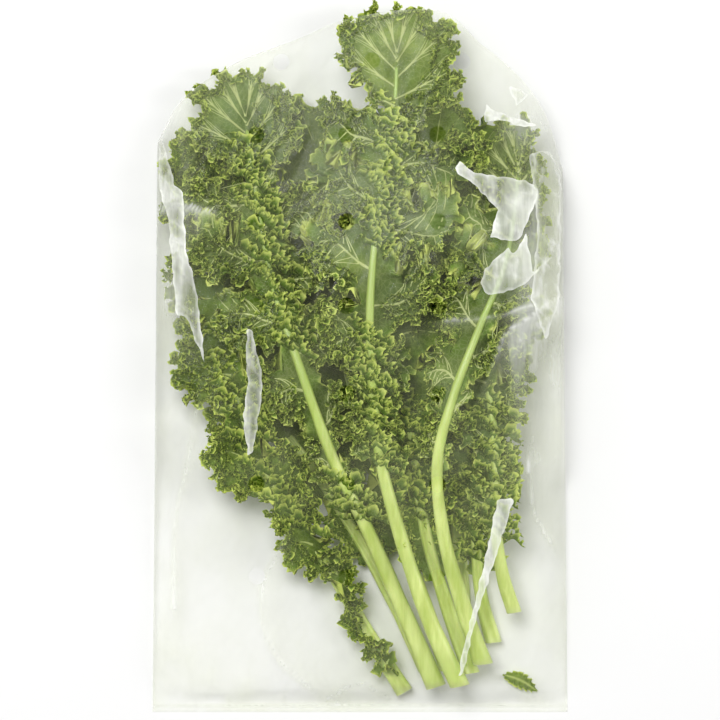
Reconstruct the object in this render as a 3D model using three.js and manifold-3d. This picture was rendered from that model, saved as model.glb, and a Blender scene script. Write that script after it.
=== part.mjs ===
// A bunch of curly kale, lying in its clear perforated produce bag.
// Units are millimetres. +Z is up, +Y runs from the cut stems to the leaf tips, and the origin is under
// the middle of the bag, on the surface that it lies on.
//
// Ten leaves are laid one on another. Each is a stem (petiole and midrib) and a lobed, frilled blade that
// crosses it. A height map holds the top of the pile so far, and every new piece is laid on it with a gap.
import * as THREE from "three";
import { mergeVertices } from "three/addons/utils/BufferGeometryUtils.js";
import Module from "manifold-3d";

const wasm = await Module();
wasm.setup();

// ---- driving dimensions ------------------------------------------------------------------------------

const BAG_WIDTH = 252;
const BAG_BOTTOM = -213.7; // y of the welded bottom edge
const BAG_TAPER = 3.5; // each side comes in by this much from the bottom to the mouth
// The mouth's edge from the left fold to the right one: x as a share of half the bag's width, and y.
const MOUTH = [
  [-1, 132], [-0.86, 158], [-0.6, 178], [-0.3, 192], [0, 205],
  [0.3, 209], [0.6, 188], [0.86, 158], [1, 116],
];
const FILM = 0.9; // the film's modelled thickness
const WELD = 4; // width of the welded bottom edge
const FOLD = 5; // height inside the bag along its two side folds
const BAG_COLUMNS = 12;
const BAG_ROWS = 19;
const FOOT_ROWS = [0, 4, 11, 22]; // distance of the first rows from the weld

const VENT_RADIUS = 5;
const VENT_SIDES = 8;
const VENT_COLUMNS = [-62, -8, 46];
const VENT_ROWS = [178, 134, 82, 32, -20, -74, -130];
const TOP_VENT_SHIFT = 15; // the top row of vents sits this much to the right

const SCRAP = { x: 97, y: -196, length: 22, width: 7, turn: -0.45, frill: 0.9 };

const GAP = 0.45; // clear space between pieces that rest on each other
const BLADE = 1.3; // a blade's thickness, measured upwards, so that its steep frills keep 0.6 mm
const FRILL_DEPTH = 17; // how far in from the margin the frill reaches
const FRILL_WAVE = 20; // length of one wave along the margin
const MARGIN_STEP = 5; // distance between the points of the margin
const STATION = 18; // distance between the stations along a leaf
const SAG = 0.4; // how far a leaf sags from one station to the next where nothing holds it
const DROOP = 5; // how far its ends come down over the last station
const RISE = 0.06; // slope of a blade away from its midrib, where nothing lifts it
const TURNED_RISE = -0.16; // the same for a turned blade, which falls away

const LOBE_PITCH = 0.124; // of the side lobes, as a share of the blade's length
const TOP_LOBE = [0.62, 0.56]; // share where the top lobe starts, on the left and on the right
const SINUS = 0.4; // half width between two lobes, as a share of the half width in a lobe
const LOBE_FAN = 0.22; // how far a lobe's lines fan out, in radians
const SCALLOP = 0.14; // depth of the top lobe's scallops, as a share of its reach
const VEIN_ANGLE = 1.25; // between the midrib and a side vein, in radians

// The leaves from the lowest to the highest. path runs from the cut end to the midrib's tip, in plan.
// bare is the share of it with no blade. left and right are the blade's half widths, which start at the
// share foot of that, and tip is its reach past the midrib. radius is the stem's at its cut end, and frill
// is half the depth of the margin's waves. A turned leaf shows its underside.
const LEAVES = [
  {
    name: "h", seed: 8, radius: 5.2, bare: 0.2, foot: 0.3, left: 40, right: 40, tip: 30, frill: 3.4,
    path: [[40, -187], [21, -148], [-1, -108], [-26, -70], [-52, -32], [-70, 14], [-78, 62], [-82, 104]],
  },
  {
    name: "j", seed: 10, radius: 5.0, bare: 0.12, foot: 0.5, left: 40, right: 40, tip: 30, frill: 3.4,
    path: [[62, -146], [60, -110], [56, -66], [52, -18], [50, 30], [56, 78], [68, 120]],
  },
  {
    name: "g", seed: 7, radius: 5.4, bare: 0.03, foot: 0.24, left: 34, right: 30, tip: 28, frill: 3.4,
    path: [
      [27, -201], [8, -171], [-12, -137], [-36, -98], [-60, -60],
      [-76, -16], [-83, 34], [-90, 78], [-96, 114],
    ],
  },
  {
    name: "e", seed: 5, radius: 4.8, bare: 0.16, foot: 0.3, left: 34, right: 24, tip: 26, frill: 3.4,
    path: [[81, -171], [74, -146], [70, -106], [71, -60], [79, -16], [87, 24], [92, 60], [94, 86]],
  },
  {
    name: "i", seed: 9, radius: 5.2, bare: 0.21, foot: 0.45, left: 44, right: 42, tip: 28, frill: 3.5,
    path: [[53, -187], [38, -144], [22, -96], [4, -48], [-10, 0], [-20, 48], [-26, 96], [-24, 130]],
  },
  {
    name: "f", seed: 6, radius: 4.6, bare: 0.16, foot: 0.3, left: 36, right: 28, tip: 30, frill: 3.5,
    path: [
      [93, -152], [86, -130], [81, -96], [81, -54], [77, -18],
      [70, 15], [60, 46], [56, 76], [57, 98],
    ],
    turned: true,
  },
  {
    name: "d", seed: 4, radius: 5.2, bare: 0.18, foot: 0.45, left: 40, right: 36, tip: 30, frill: 3.6,
    path: [[67, -189], [53, -150], [40, -106], [32, -54], [25, 0], [22, 48], [30, 96], [46, 130]],
  },
  {
    name: "c", seed: 3, radius: 5.8, bare: 0.38, foot: 0.3, left: 38, right: 22, tip: 27, frill: 3.7,
    path: [
      [74, -183], [61, -145], [50, -105], [46, -61], [55, -23],
      [71, 19], [86, 55], [93, 92], [95, 118],
    ],
    turned: true,
  },
  {
    name: "a", seed: 1, radius: 6.3, bare: 0.34, foot: 0.3, left: 46, right: 42, tip: 27, frill: 3.8,
    path: [
      [46, -197], [26, -151], [5, -103], [-15, -62], [-34, -10],
      [-50, 38], [-60, 84], [-66, 122], [-69, 148],
    ],
    turned: true,
  },
  {
    name: "b", seed: 2, radius: 6.0, bare: 0.36, foot: 0.35, left: 46, right: 50, tip: 27, frill: 3.8,
    path: [
      [60, -196], [42, -157], [24, -105], [12, -58], [7, -10],
      [6, 34], [10, 80], [16, 122], [21, 156], [22, 186],
    ],
    turned: true,
  },
];

const LEAF_GREEN = { color: 0x4f7a2e, roughness: 0.55, metalness: 0 };
const UNDERSIDE_GREEN = { color: 0x7c9a5c, roughness: 0.6, metalness: 0 };
const STEM_GREEN = { color: 0xbccf76, roughness: 0.4, metalness: 0 };
const CLEAR_FILM = { color: 0xeef2ee, roughness: 0.15, metalness: 0, transparent: true, opacity: 0.2 };

// ---- the height map ----------------------------------------------------------------------------------

const CELL = 1.25;
const MAP_X = -132;
const MAP_Y = -222;
const MAP_COLUMNS = 212;
const MAP_ROWS = 362;
const DILATE = 5; // cells
const BLUR = 4; // cells, no more than DILATE, so that the envelope stays on or over the pile

const pile = new Float32Array(MAP_COLUMNS * MAP_ROWS).fill(FILM);

const clampTo = (value, low, high) => Math.min(high, Math.max(low, value));
const columnOf = (x) => clampTo(Math.round((x - MAP_X) / CELL), 0, MAP_COLUMNS - 1);
const rowOf = (y) => clampTo(Math.round((y - MAP_Y) / CELL), 0, MAP_ROWS - 1);

// The highest point of the pile within about a cell of x, y.
function pileTop(x, y) {
  const c = columnOf(x);
  const r = rowOf(y);
  let top = 0;
  for (let j = Math.max(0, r - 1); j <= Math.min(MAP_ROWS - 1, r + 1); j++)
    for (let i = Math.max(0, c - 1); i <= Math.min(MAP_COLUMNS - 1, c + 1); i++)
      top = Math.max(top, pile[j * MAP_COLUMNS + i]);
  return top;
}

// One pass of a square filter along x or y. pick joins the values in reach.
function filtered(map, reach, pick) {
  const along = (source, columns, rows, step, stride) => {
    const out = new Float32Array(source.length);
    for (let r = 0; r < rows; r++)
      for (let c = 0; c < columns; c++) {
        const values = [];
        for (let k = -reach; k <= reach; k++)
          values.push(source[clampTo(c + k, 0, columns - 1) * step + r * stride]);
        out[c * step + r * stride] = pick(values);
      }
    return out;
  };
  const once = along(map, MAP_COLUMNS, MAP_ROWS, 1, MAP_COLUMNS);
  return along(once, MAP_ROWS, MAP_COLUMNS, MAP_COLUMNS, 1);
}
const highest = (values) => Math.max(...values);
const mean = (values) => values.reduce((sum, v) => sum + v, 0) / values.length;

// A smooth surface that lies on or over the pile.
function pileEnvelope() {
  const smooth = filtered(filtered(pile, DILATE, highest), BLUR, mean);
  return (x, y) => {
    const u = clampTo((x - MAP_X) / CELL, 0, MAP_COLUMNS - 1.001);
    const v = clampTo((y - MAP_Y) / CELL, 0, MAP_ROWS - 1.001);
    const c = Math.floor(u);
    const r = Math.floor(v);
    const at = (i, j) => smooth[j * MAP_COLUMNS + i];
    const low = at(c, r) * (1 - (u - c)) + at(c + 1, r) * (u - c);
    const high = at(c, r + 1) * (1 - (u - c)) + at(c + 1, r + 1) * (u - c);
    return low * (1 - (v - r)) + high * (v - r);
  };
}

// Calls visit(x, y, z) at points about a millimetre apart all over a triangle.
function overTriangle(a, b, c, visit) {
  const reach = Math.max(a.distanceTo(b), b.distanceTo(c), c.distanceTo(a));
  const n = Math.max(1, Math.ceil(reach / 1.2));
  for (let i = 0; i <= n; i++)
    for (let j = 0; j <= n - i; j++) {
      const u = i / n;
      const v = j / n;
      const w = 1 - u - v;
      visit(a.x * u + b.x * v + c.x * w, a.y * u + b.y * v + c.y * w, a.z * u + b.z * v + c.z * w);
    }
}

function addToPile(points, faces) {
  for (const [a, b, c] of faces)
    overTriangle(points[a], points[b], points[c], (x, y, z) => {
      const cell = rowOf(y) * MAP_COLUMNS + columnOf(x);
      pile[cell] = Math.max(pile[cell], z);
    });
}

// Raises the points until every face is at least GAP over the pile.
function liftClear(points, faces) {
  for (let pass = 0; pass < 40; pass++) {
    const lift = new Float32Array(points.length);
    let worst = 0;
    for (const face of faces) {
      let need = 0;
      overTriangle(...face.map((i) => points[i]), (x, y, z) => {
        need = Math.max(need, pileTop(x, y) + GAP - z);
      });
      for (const i of face) lift[i] = Math.max(lift[i], need);
      worst = Math.max(worst, need);
    }
    if (worst <= 0) return;
    points.forEach((p, i) => (p.z += lift[i] > 0 ? lift[i] + 0.02 : 0));
  }
  throw new Error("a piece could not be lifted clear of the pile");
}

// ---- small tools -------------------------------------------------------------------------------------

const smoothstep = THREE.MathUtils.smoothstep;
const softMax = (a, b, blend) => (a + b + Math.hypot(a - b, blend)) / 2;

// A repeatable random number from 0 to 1.
function randomFrom(seed) {
  let state = seed * 7919 + 17;
  return () => {
    state = (state * 16807) % 2147483647;
    return state / 2147483647;
  };
}

function meshOf(name, points, faces, look) {
  const geometry = new THREE.BufferGeometry().setFromPoints(points);
  geometry.setIndex(faces.flat());
  geometry.computeVertexNormals();
  const mesh = new THREE.Mesh(geometry, new THREE.MeshStandardMaterial(look));
  mesh.name = name;
  return mesh;
}

// Faces between two rows of points whose shares along the leaf grow. Each row holds {index, share}.
function zipper(inner, outer, flip) {
  const faces = [];
  let i = 0;
  let j = 0;
  while (i < inner.length - 1 || j < outer.length - 1) {
    const a = inner[i].index;
    const b = outer[j].index;
    const stepOuter =
      i === inner.length - 1 || (j < outer.length - 1 && outer[j + 1].share <= inner[i + 1].share);
    const c = stepOuter ? outer[++j].index : inner[++i].index;
    faces.push(flip ? [a, b, c] : [a, c, b]);
  }
  return faces;
}

// The outline of a grid of points, given how many steps it has along its rows and across them.
function gridLoop(along, across) {
  const at = (c, r) => r * (along + 1) + c;
  const loop = [];
  for (let c = 0; c < along; c++) loop.push(at(c, 0));
  for (let r = 0; r < across; r++) loop.push(at(along, r));
  for (let c = along; c > 0; c--) loop.push(at(c, across));
  for (let r = across; r > 0; r--) loop.push(at(0, r));
  return loop;
}

// ---- one leaf ----------------------------------------------------------------------------------------

function curveOf(leaf) {
  const points = leaf.path.map(([x, y]) => new THREE.Vector3(x, y, 0));
  return new THREE.CatmullRomCurve3(points, false, "centripetal");
}

// Where the line at share b of the blade leaves the midrib, as a share of the whole path. The lines crowd
// together at the tip, which they fan round.
const rootShare = (leaf, b) => leaf.bare + (1 - leaf.bare) * Math.sin((Math.PI / 2) * b);

// How far the line at share b is past the foot of the top lobe, from 0 to 1, or below 0 on a side lobe.
function pastTopLobe(side, b) {
  const start = TOP_LOBE[side > 0 ? 0 : 1];
  return (b - start) / (1 - start);
}

// How far the line at share b is across its own side lobe, from the lobe's upper sinus to its lower one.
function acrossLobe(side, b) {
  return ((TOP_LOBE[side > 0 ? 0 : 1] - b) / LOBE_PITCH) % 1;
}

// The blade's half width over its length, with its lobes.
function halfWidth(leaf, side, b) {
  const full = side > 0 ? leaf.left : leaf.right;
  const widest = full * (leaf.foot + (1 - leaf.foot) * smoothstep(b, 0, 0.4));
  const past = pastTopLobe(side, b);
  if (past < 0) return widest * (SINUS + (1 - SINUS) * Math.sin(Math.PI * acrossLobe(side, b)) ** 0.6);
  const reach = widest + (leaf.tip - widest) * smoothstep(past, 0.3, 1);
  const notch = SCALLOP * (0.5 - 0.5 * Math.cos(7 * Math.PI * (1 - past)));
  return reach * (SINUS + (1 - SINUS) * smoothstep(past, 0, 0.22)) * (1 - notch);
}

// The angle between the midrib and the line that runs out from it to the margin.
function veinAngle(side, b) {
  const past = pastTopLobe(side, b);
  if (past < 0) return VEIN_ANGLE - LOBE_FAN * Math.sin(2 * Math.PI * acrossLobe(side, b));
  return VEIN_ANGLE * (1 - past ** 1.2);
}

function bladePlan(leaf) {
  const curve = curveOf(leaf);
  const left = new THREE.Vector3();
  // The point in plan that lies a share t of the way from the midrib to the margin.
  return (side, b, t) => {
    const root = curve.getPointAt(rootShare(leaf, b));
    const ahead = curve.getTangentAt(rootShare(leaf, b));
    left.set(-ahead.y, ahead.x, 0);
    const angle = veinAngle(side, b);
    const width = halfWidth(leaf, side, b);
    const point = root
      .addScaledVector(ahead, Math.cos(angle) * width * t)
      .addScaledVector(left, side * Math.sin(angle) * width * t);
    return { point, inset: width * (1 - t), from: width * t };
  };
}

// Shares of the blade's length at even steps along the row at t, and the length of the row up to each.
function evenShares(plan, side, t, step) {
  const fine = 300;
  const lengths = [0];
  let last = plan(side, 0, t).point.clone();
  for (let k = 1; k <= fine; k++) {
    const next = plan(side, k / fine, t).point.clone();
    lengths.push(lengths[k - 1] + next.distanceTo(last));
    last = next;
  }
  const total = lengths[fine];
  const count = Math.max(3, Math.round(total / step));
  const shares = [];
  for (let n = 0, k = 0; n <= count; n++) {
    while (k < fine && lengths[k + 1] < (total * n) / count) k++;
    shares.push(n === count ? 1 : k / fine);
  }
  return { shares, lengthAt: (b) => lengths[Math.round(b * fine)] };
}

// The heights of a leaf's stations, from its cut end to its tip. It bends only gently, so it bridges the
// dips of what it lies on, and its ends come down where nothing holds them.
function bridged(needs) {
  const last = needs.length - 1;
  const heights = [...needs];
  for (let pass = 0; pass < 400; pass++)
    for (let k = 0; k <= last; k++) {
      let held = k === 0 ? heights[1] - DROOP : heights[last - 1] - DROOP;
      if (k > 0 && k < last) held = (heights[k - 1] + heights[k + 1]) / 2 - SAG * (1 + (2 * k) / last);
      heights[k] = Math.max(needs[k], held);
    }
  return heights;
}

// The value at a share from 0 to 1 of a list of evenly spaced values.
function along(list, share) {
  const at = clampTo(share * (list.length - 1), 0, list.length - 1.001);
  const k = Math.floor(at);
  return list[k] * (1 - (at - k)) + list[k + 1] * (at - k);
}

const ROW_STEPS = [28, 18, 8, MARGIN_STEP];
const ROW_SHARES = [0, 0.45, 0.8, 1];

// The height of a turned blade's midrib, over what it lies on, at a share of the blade's length.
function turnedSpine(leaf, envelope) {
  const curve = curveOf(leaf);
  const stations = curve.getSpacedPoints(Math.round(curve.getLength() / STATION));
  const heights = bridged(stations.map((p) => envelope(p.x, p.y) + GAP));
  return (b) => along(heights, rootShare(leaf, b));
}

function makeBlade(leaf, ribTop, envelope) {
  const plan = bladePlan(leaf);
  const phase = randomFrom(leaf.seed)() * 6;
  const points = [];
  const margins = [1, -1].map((side) => evenShares(plan, side, 1, MARGIN_STEP));

  // The underside's height. The frill grows towards the margin and never dips under its base.
  const addPoint = (side, b, t) => {
    const { point, inset, from } = plan(side, b, t);
    const margin = margins[side > 0 ? 0 : 1].lengthAt(b);
    const wave = (2 * Math.PI * margin) / FRILL_WAVE + phase + 0.9 * Math.sin(margin / 23 + phase);
    const nearMargin = 1 - smoothstep(inset, 0, FRILL_DEPTH);
    const frill = leaf.frill * nearMargin * (0.4 + 0.6 * smoothstep(b, 0, 0.3));
    const own = ribTop(b) + (leaf.turned ? TURNED_RISE : RISE) * from;
    const base = softMax(own, envelope(point.x, point.y) + GAP, 3);
    points.push(new THREE.Vector3(point.x, point.y, base + frill * (1 + Math.sin(wave))));
    return points.length - 1;
  };

  const spineShares = evenShares(plan, 1, 0, ROW_STEPS[0]).shares;
  const spine = spineShares.map((share) => ({ share, index: addPoint(1, share, 0) }));
  const tips = ROW_SHARES.slice(1).map((t) => addPoint(1, 1, t));
  const faces = [];
  const sides = [1, -1].map((side) => {
    const rows = [spine];
    ROW_SHARES.slice(1).forEach((t, k) => {
      const shares = evenShares(plan, side, t, ROW_STEPS[k + 1]).shares;
      rows.push(
        shares.map((share) => ({ share, index: share === 1 ? tips[k] : addPoint(side, share, t) })),
      );
    });
    for (let k = 1; k < rows.length; k++)
      faces.push(...zipper(rows[k - 1], rows[k], side < 0));
    return rows;
  });
  liftClear(points, faces);

  const [leftRows, rightRows] = sides;
  const last = ROW_SHARES.length - 1;
  const loop = [
    ...leftRows.slice(0, last).map((row) => row[0]),
    ...leftRows[last],
    ...rightRows[last].slice(0, -1).reverse(),
    ...rightRows.slice(1, last).reverse().map((row) => row[0]),
  ];
  return thicken(points, faces, loop.map((p) => p.index));
}

// A blade from its underside: the same faces on top, and a wall round the edge, whose points are in loop.
function thicken(points, faces, loop) {
  const count = points.length;
  const tops = points.map((p) => new THREE.Vector3(p.x, p.y, p.z + BLADE));
  const closed = faces.flatMap(([a, b, c]) => [[a + count, b + count, c + count], [a, c, b]]);
  loop.forEach((a, k) => {
    const b = loop[(k + 1) % loop.length];
    closed.push([b, a, a + count], [b, a + count, b + count]);
  });
  addToPile(tops, faces);
  return { points: [...points, ...tops], faces: closed };
}

// Half of a stem's section, from its flat upper face round to its keel, as shares of its radius.
const SECTION = [[0.55, 0.5], [1, 0.1], [0.8, -0.55], [0.3, -0.9]];

function makeStem(leaf) {
  const curve = curveOf(leaf);
  const length = curve.getLength();
  const reach = 0.97; // the midrib fades out just short of the end of its path
  const count = Math.round((length * reach) / STATION);
  const turn = leaf.turned ? -1 : 1;
  const section = [...SECTION, ...SECTION.map(([x, z]) => [-x, z]).reverse()];
  // How far the section reaches under its centre at w from the middle, all in radii.
  const under = (w) => (turn > 0 ? 0.9 - 0.5 * Math.abs(w) ** 2 : 0.5 - 0.1 * Math.abs(w));
  const stations = [];
  for (let k = 0; k <= count; k++) {
    const share = (reach * k) / count;
    const radius = leaf.radius * (1 - 0.84 * Math.pow(share, 0.75));
    stations.push({ centre: curve.getPointAt(share), ahead: curve.getTangentAt(share), radius });
  }
  // The height that each station needs to clear the pile from the one before it to the one after.
  const needs = stations.map((s, k) => {
    let need = 0;
    const from = stations[Math.max(0, k - 1)];
    const to = stations[Math.min(count, k + 1)];
    for (let n = 0; n <= 20; n++) {
      const centre = from.centre.clone().lerp(to.centre, n / 20);
      for (let w = -1; w <= 1; w += 0.25) {
        const x = centre.x - s.ahead.y * w * s.radius * 1.1;
        const y = centre.y + s.ahead.x * w * s.radius * 1.1;
        need = Math.max(need, pileTop(x, y) + GAP + s.radius * under(w));
      }
    }
    return need;
  });
  const heights = bridged(needs);
  stations.forEach((s, k) => (s.centre.z = heights[k]));

  const points = [];
  const faces = [];
  for (const s of stations)
    for (const [x, z] of section)
      points.push(
        new THREE.Vector3(
          s.centre.x - s.ahead.y * x * s.radius,
          s.centre.y + s.ahead.x * x * s.radius,
          s.centre.z + turn * z * s.radius,
        ),
      );
  const n = section.length;
  for (let k = 0; k < count; k++)
    for (let i = 0; i < n; i++) {
      const a = k * n + i;
      const b = k * n + ((i + 1) % n);
      faces.push([a, a + n, b], [b, a + n, b + n]);
    }
  for (let i = 1; i < n - 1; i++) {
    faces.push([0, i, i + 1]);
    faces.push([count * n, count * n + i + 1, count * n + i]);
  }
  if (turn < 0) faces.forEach((f) => f.reverse());
  const above = turn > 0 ? 0.5 : 0.9;
  const tops = stations.map((s) => s.centre.z + s.radius * above + GAP);
  const top = (b) => along(tops, rootShare(leaf, b) / reach);
  addToPile(points, faces);
  return { points, faces, top };
}

// ---- the pile of leaves ------------------------------------------------------------------------------

const bunch = new THREE.Group();

for (const leaf of LEAVES) {
  const envelope = pileEnvelope();
  // A turned leaf's stem lies over its blade, and the others' stems lie under theirs.
  const early = leaf.turned ? null : makeStem(leaf);
  const spineTop = leaf.turned ? turnedSpine(leaf, envelope) : early.top;
  const blade = makeBlade(leaf, spineTop, envelope);
  const stem = early ?? makeStem(leaf);
  bunch.add(meshOf("stem_" + leaf.name, stem.points, stem.faces, STEM_GREEN));
  const green = leaf.turned ? UNDERSIDE_GREEN : LEAF_GREEN;
  bunch.add(meshOf("blade_" + leaf.name, blade.points, blade.faces, green));
}

// ---- the loose scrap of leaf at the bottom of the bag ------------------------------------------------

function makeScrap() {
  const steps = 9;
  const points = [];
  const faces = [];
  for (let k = 0; k <= steps; k++) {
    const share = k / steps;
    const half = SCRAP.width * (0.25 + 0.5 * Math.sin(Math.PI * share)) * (k % 2 ? 0.75 : 1);
    for (const side of [-1, 0, 1]) {
      const wave = side === 0 ? 0 : SCRAP.frill * (1 + Math.sin(k * 2.1 + side));
      const point = new THREE.Vector3((share - 0.5) * SCRAP.length, side * half, FILM + GAP + wave);
      point.applyAxisAngle(new THREE.Vector3(0, 0, 1), SCRAP.turn);
      points.push(point.add(new THREE.Vector3(SCRAP.x, SCRAP.y, 0)));
    }
  }
  for (let k = 0; k < steps; k++)
    for (const a of [3 * k, 3 * k + 1]) faces.push([a, a + 3, a + 1], [a + 1, a + 3, a + 4]);
  liftClear(points, faces);
  return thicken(points, faces, gridLoop(2, steps));
}

const scrap = makeScrap();
bunch.add(meshOf("leaf_scrap", scrap.points, scrap.faces, LEAF_GREEN));

// ---- the bag -----------------------------------------------------------------------------------------

const mouth = new THREE.CatmullRomCurve3(MOUTH.map(([x, y]) => new THREE.Vector3(x, y, 0)));
const halfBagAt = (y) => BAG_WIDTH / 2 - (BAG_TAPER * (y - BAG_BOTTOM)) / (MOUTH[4][1] - BAG_BOTTOM);

// Rows run across the bag: the first is the weld's inner edge, the last is the mouth.
const wide = BAG_COLUMNS + 1;
const evenRows = BAG_ROWS - FOOT_ROWS.length + 1;

// How far row r is from the weld, where the mouth is at the given length from it.
function rowDistance(r, length) {
  const foot = FOOT_ROWS.at(-1);
  const even = foot + ((length - foot) * (r - FOOT_ROWS.length + 1)) / evenRows;
  return FOOT_ROWS[r] ?? even;
}

// The y of the mouth's edge, where x is a share of half the bag's width.
function mouthAt(share) {
  const nearer = (p, q) => (Math.abs(p.x - share) < Math.abs(q.x - share) ? p : q);
  return mouth.getPoints(400).reduce((best, p) => nearer(p, best)).y;
}

// The front film's inner face: it is stretched over the pile and comes down to the weld and the folds.
function frontFilm() {
  const points = [];
  const lowest = [];
  const start = BAG_BOTTOM + WELD;
  for (let r = 0; r <= BAG_ROWS; r++)
    for (let c = 0; c < wide; c++) {
      const share = (2 * c) / BAG_COLUMNS - 1;
      const y = start + rowDistance(r, mouthAt(share) - start);
      points.push(new THREE.Vector3(share * (halfBagAt(y) - FILM), y, 0));
      const fold = c % BAG_COLUMNS === 0 ? FOLD : 0.4 * FOLD;
      lowest.push(FILM + GAP + fold * smoothstep(y, start, start + 30) + 0.01);
    }
  const faces = [];
  for (let r = 0; r < BAG_ROWS; r++)
    for (let c = 0; c < BAG_COLUMNS; c++) {
      const a = r * wide + c;
      if ((c + r) % 2) faces.push([a, a + 1, a + wide], [a + 1, a + wide + 1, a + wide]);
      else faces.push([a, a + 1, a + wide + 1], [a, a + wide + 1, a + wide]);
    }
  const fixed = (k) => k < wide || k % wide === 0 || k % wide === BAG_COLUMNS;
  points.forEach((p, k) => (p.z = lowest[k]));
  for (let round = 0; round < 60; round++) {
    for (let pass = 0; pass < 80; pass++)
      points.forEach((p, k) => {
        if (fixed(k)) return;
        const near = [points[k - 1].z, points[k + 1].z, points[k - wide].z];
        if (k + wide < points.length) near.push(points[k + wide].z);
        p.z = Math.max(lowest[k], mean(near));
      });
    let short = 0;
    for (const face of faces) {
      const corners = face.map((k) => points[k]);
      overTriangle(...corners, (x, y, z) => {
        const need = pileTop(x, y) + GAP - z;
        if (need <= 0) return;
        short = Math.max(short, need);
        for (const k of face)
          if (k >= wide) lowest[k] = Math.max(lowest[k], points[k].z + Math.min(need, 5) * 0.8 + 0.03);
      });
    }
    points.forEach((p, k) => fixed(k) && (p.z = lowest[k]));
    if (short === 0) return { points, faces };
  }
  throw new Error("the film could not be lifted clear of the pile");
}

// Each point of a sheet moved out by a distance along the sheet's own slope.
function offset(points, faces, distance) {
  const geometry = new THREE.BufferGeometry().setFromPoints(points);
  geometry.setIndex(faces.flat());
  geometry.computeVertexNormals();
  const normals = geometry.attributes.normal;
  return points.map((p, k) => {
    const normal = new THREE.Vector3().fromBufferAttribute(normals, k);
    return p.clone().addScaledVector(normal, distance);
  });
}

// A closed solid between a sheet of points, whose outline is loop, and the level z under it.
function solidOver(points, faces, loop, level) {
  const flat = loop.map((k) => new THREE.Vector2(points[k].x, points[k].y));
  const count = points.length;
  const all = [...points, ...loop.map((k) => new THREE.Vector3(points[k].x, points[k].y, level))];
  const closed = [...faces];
  for (const [a, b, c] of THREE.ShapeUtils.triangulateShape(flat, []))
    closed.push([count + a, count + c, count + b]);
  loop.forEach((a, k) => {
    const next = (k + 1) % loop.length;
    closed.push([a, count + k, loop[next]], [loop[next], count + k, count + next]);
  });
  const geometry = new THREE.BufferGeometry().setFromPoints(all);
  geometry.setIndex(closed.flat());
  return toManifold(geometry);
}

function toManifold(source) {
  const bare = new THREE.BufferGeometry().setAttribute("position", source.attributes.position);
  const merged = mergeVertices(bare.setIndex(source.index), 1e-4);
  return new wasm.Manifold(
    new wasm.Mesh({
      numProp: 3,
      vertProperties: merged.attributes.position.array,
      triVerts: new Uint32Array(merged.index.array),
    }),
  );
}

function fromManifold(solid) {
  const { vertProperties, triVerts, numProp } = solid.getMesh();
  const points = [];
  for (let i = 0; i < vertProperties.length; i += numProp)
    points.push(new THREE.Vector3(...vertProperties.slice(i, i + 3)));
  const faces = [];
  for (let i = 0; i < triVerts.length; i += 3) faces.push(Array.from(triVerts.slice(i, i + 3)));
  return { points, faces };
}

function makeBag() {
  const film = frontFilm();
  const outer = offset(film.points, film.faces, FILM);
  outer.forEach((p, k) => {
    const inner = film.points[k];
    const onFold = (k % wide) % BAG_COLUMNS === 0;
    if (onFold) p.set(Math.sign(inner.x) * halfBagAt(inner.y), inner.y, inner.z + FILM / 2);
    if (k < wide) p.setY(BAG_BOTTOM + WELD).setZ(2 * FILM);
  });
  const weld = outer.slice(0, wide).map((p) => new THREE.Vector3(p.x, BAG_BOTTOM, 2 * FILM));
  const weldFaces = [];
  for (let c = 0; c < BAG_COLUMNS; c++)
    weldFaces.push([c, c + 1, c + wide], [c + 1, c + wide + 1, c + wide]);
  const outerFaces = [...weldFaces, ...film.faces.map((f) => f.map((k) => k + wide))];
  const shell = solidOver([...weld, ...outer], outerFaces, gridLoop(BAG_COLUMNS, BAG_ROWS + 1), 0);

  // The space inside runs from the weld out through the mouth.
  const past = 4;
  const inside = film.points.map((p) => p.clone());
  inside.slice(BAG_ROWS * wide).forEach((p) => p.setY(p.y + past));
  const space = solidOver(inside, film.faces, gridLoop(BAG_COLUMNS, BAG_ROWS), FILM);
  let bag = shell.subtract(space);

  const punch = new THREE.CylinderGeometry(VENT_RADIUS, VENT_RADIUS, 300, VENT_SIDES);
  punch.rotateX(Math.PI / 2);
  for (const [r, y] of VENT_ROWS.entries())
    for (const x of VENT_COLUMNS) {
      const cut = punch.clone().translate(x + (r === 0 ? TOP_VENT_SHIFT : 0), y, 0);
      bag = bag.subtract(toManifold(cut));
    }
  return fromManifold(bag);
}

const bag = makeBag();
bunch.add(meshOf("bag", bag.points, bag.faces, CLEAR_FILM));

export default bunch;
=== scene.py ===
# The looks of a bunch of curly kale that lies in its clear perforated produce bag.
# Lengths here are millimetres, as in the part's own source, until mesh_of makes a mesh in metres.
import math

import bpy
import numpy as np
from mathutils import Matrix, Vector
from mathutils.geometry import delaunay_2d_cdt
from mathutils.kdtree import KDTree


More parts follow.
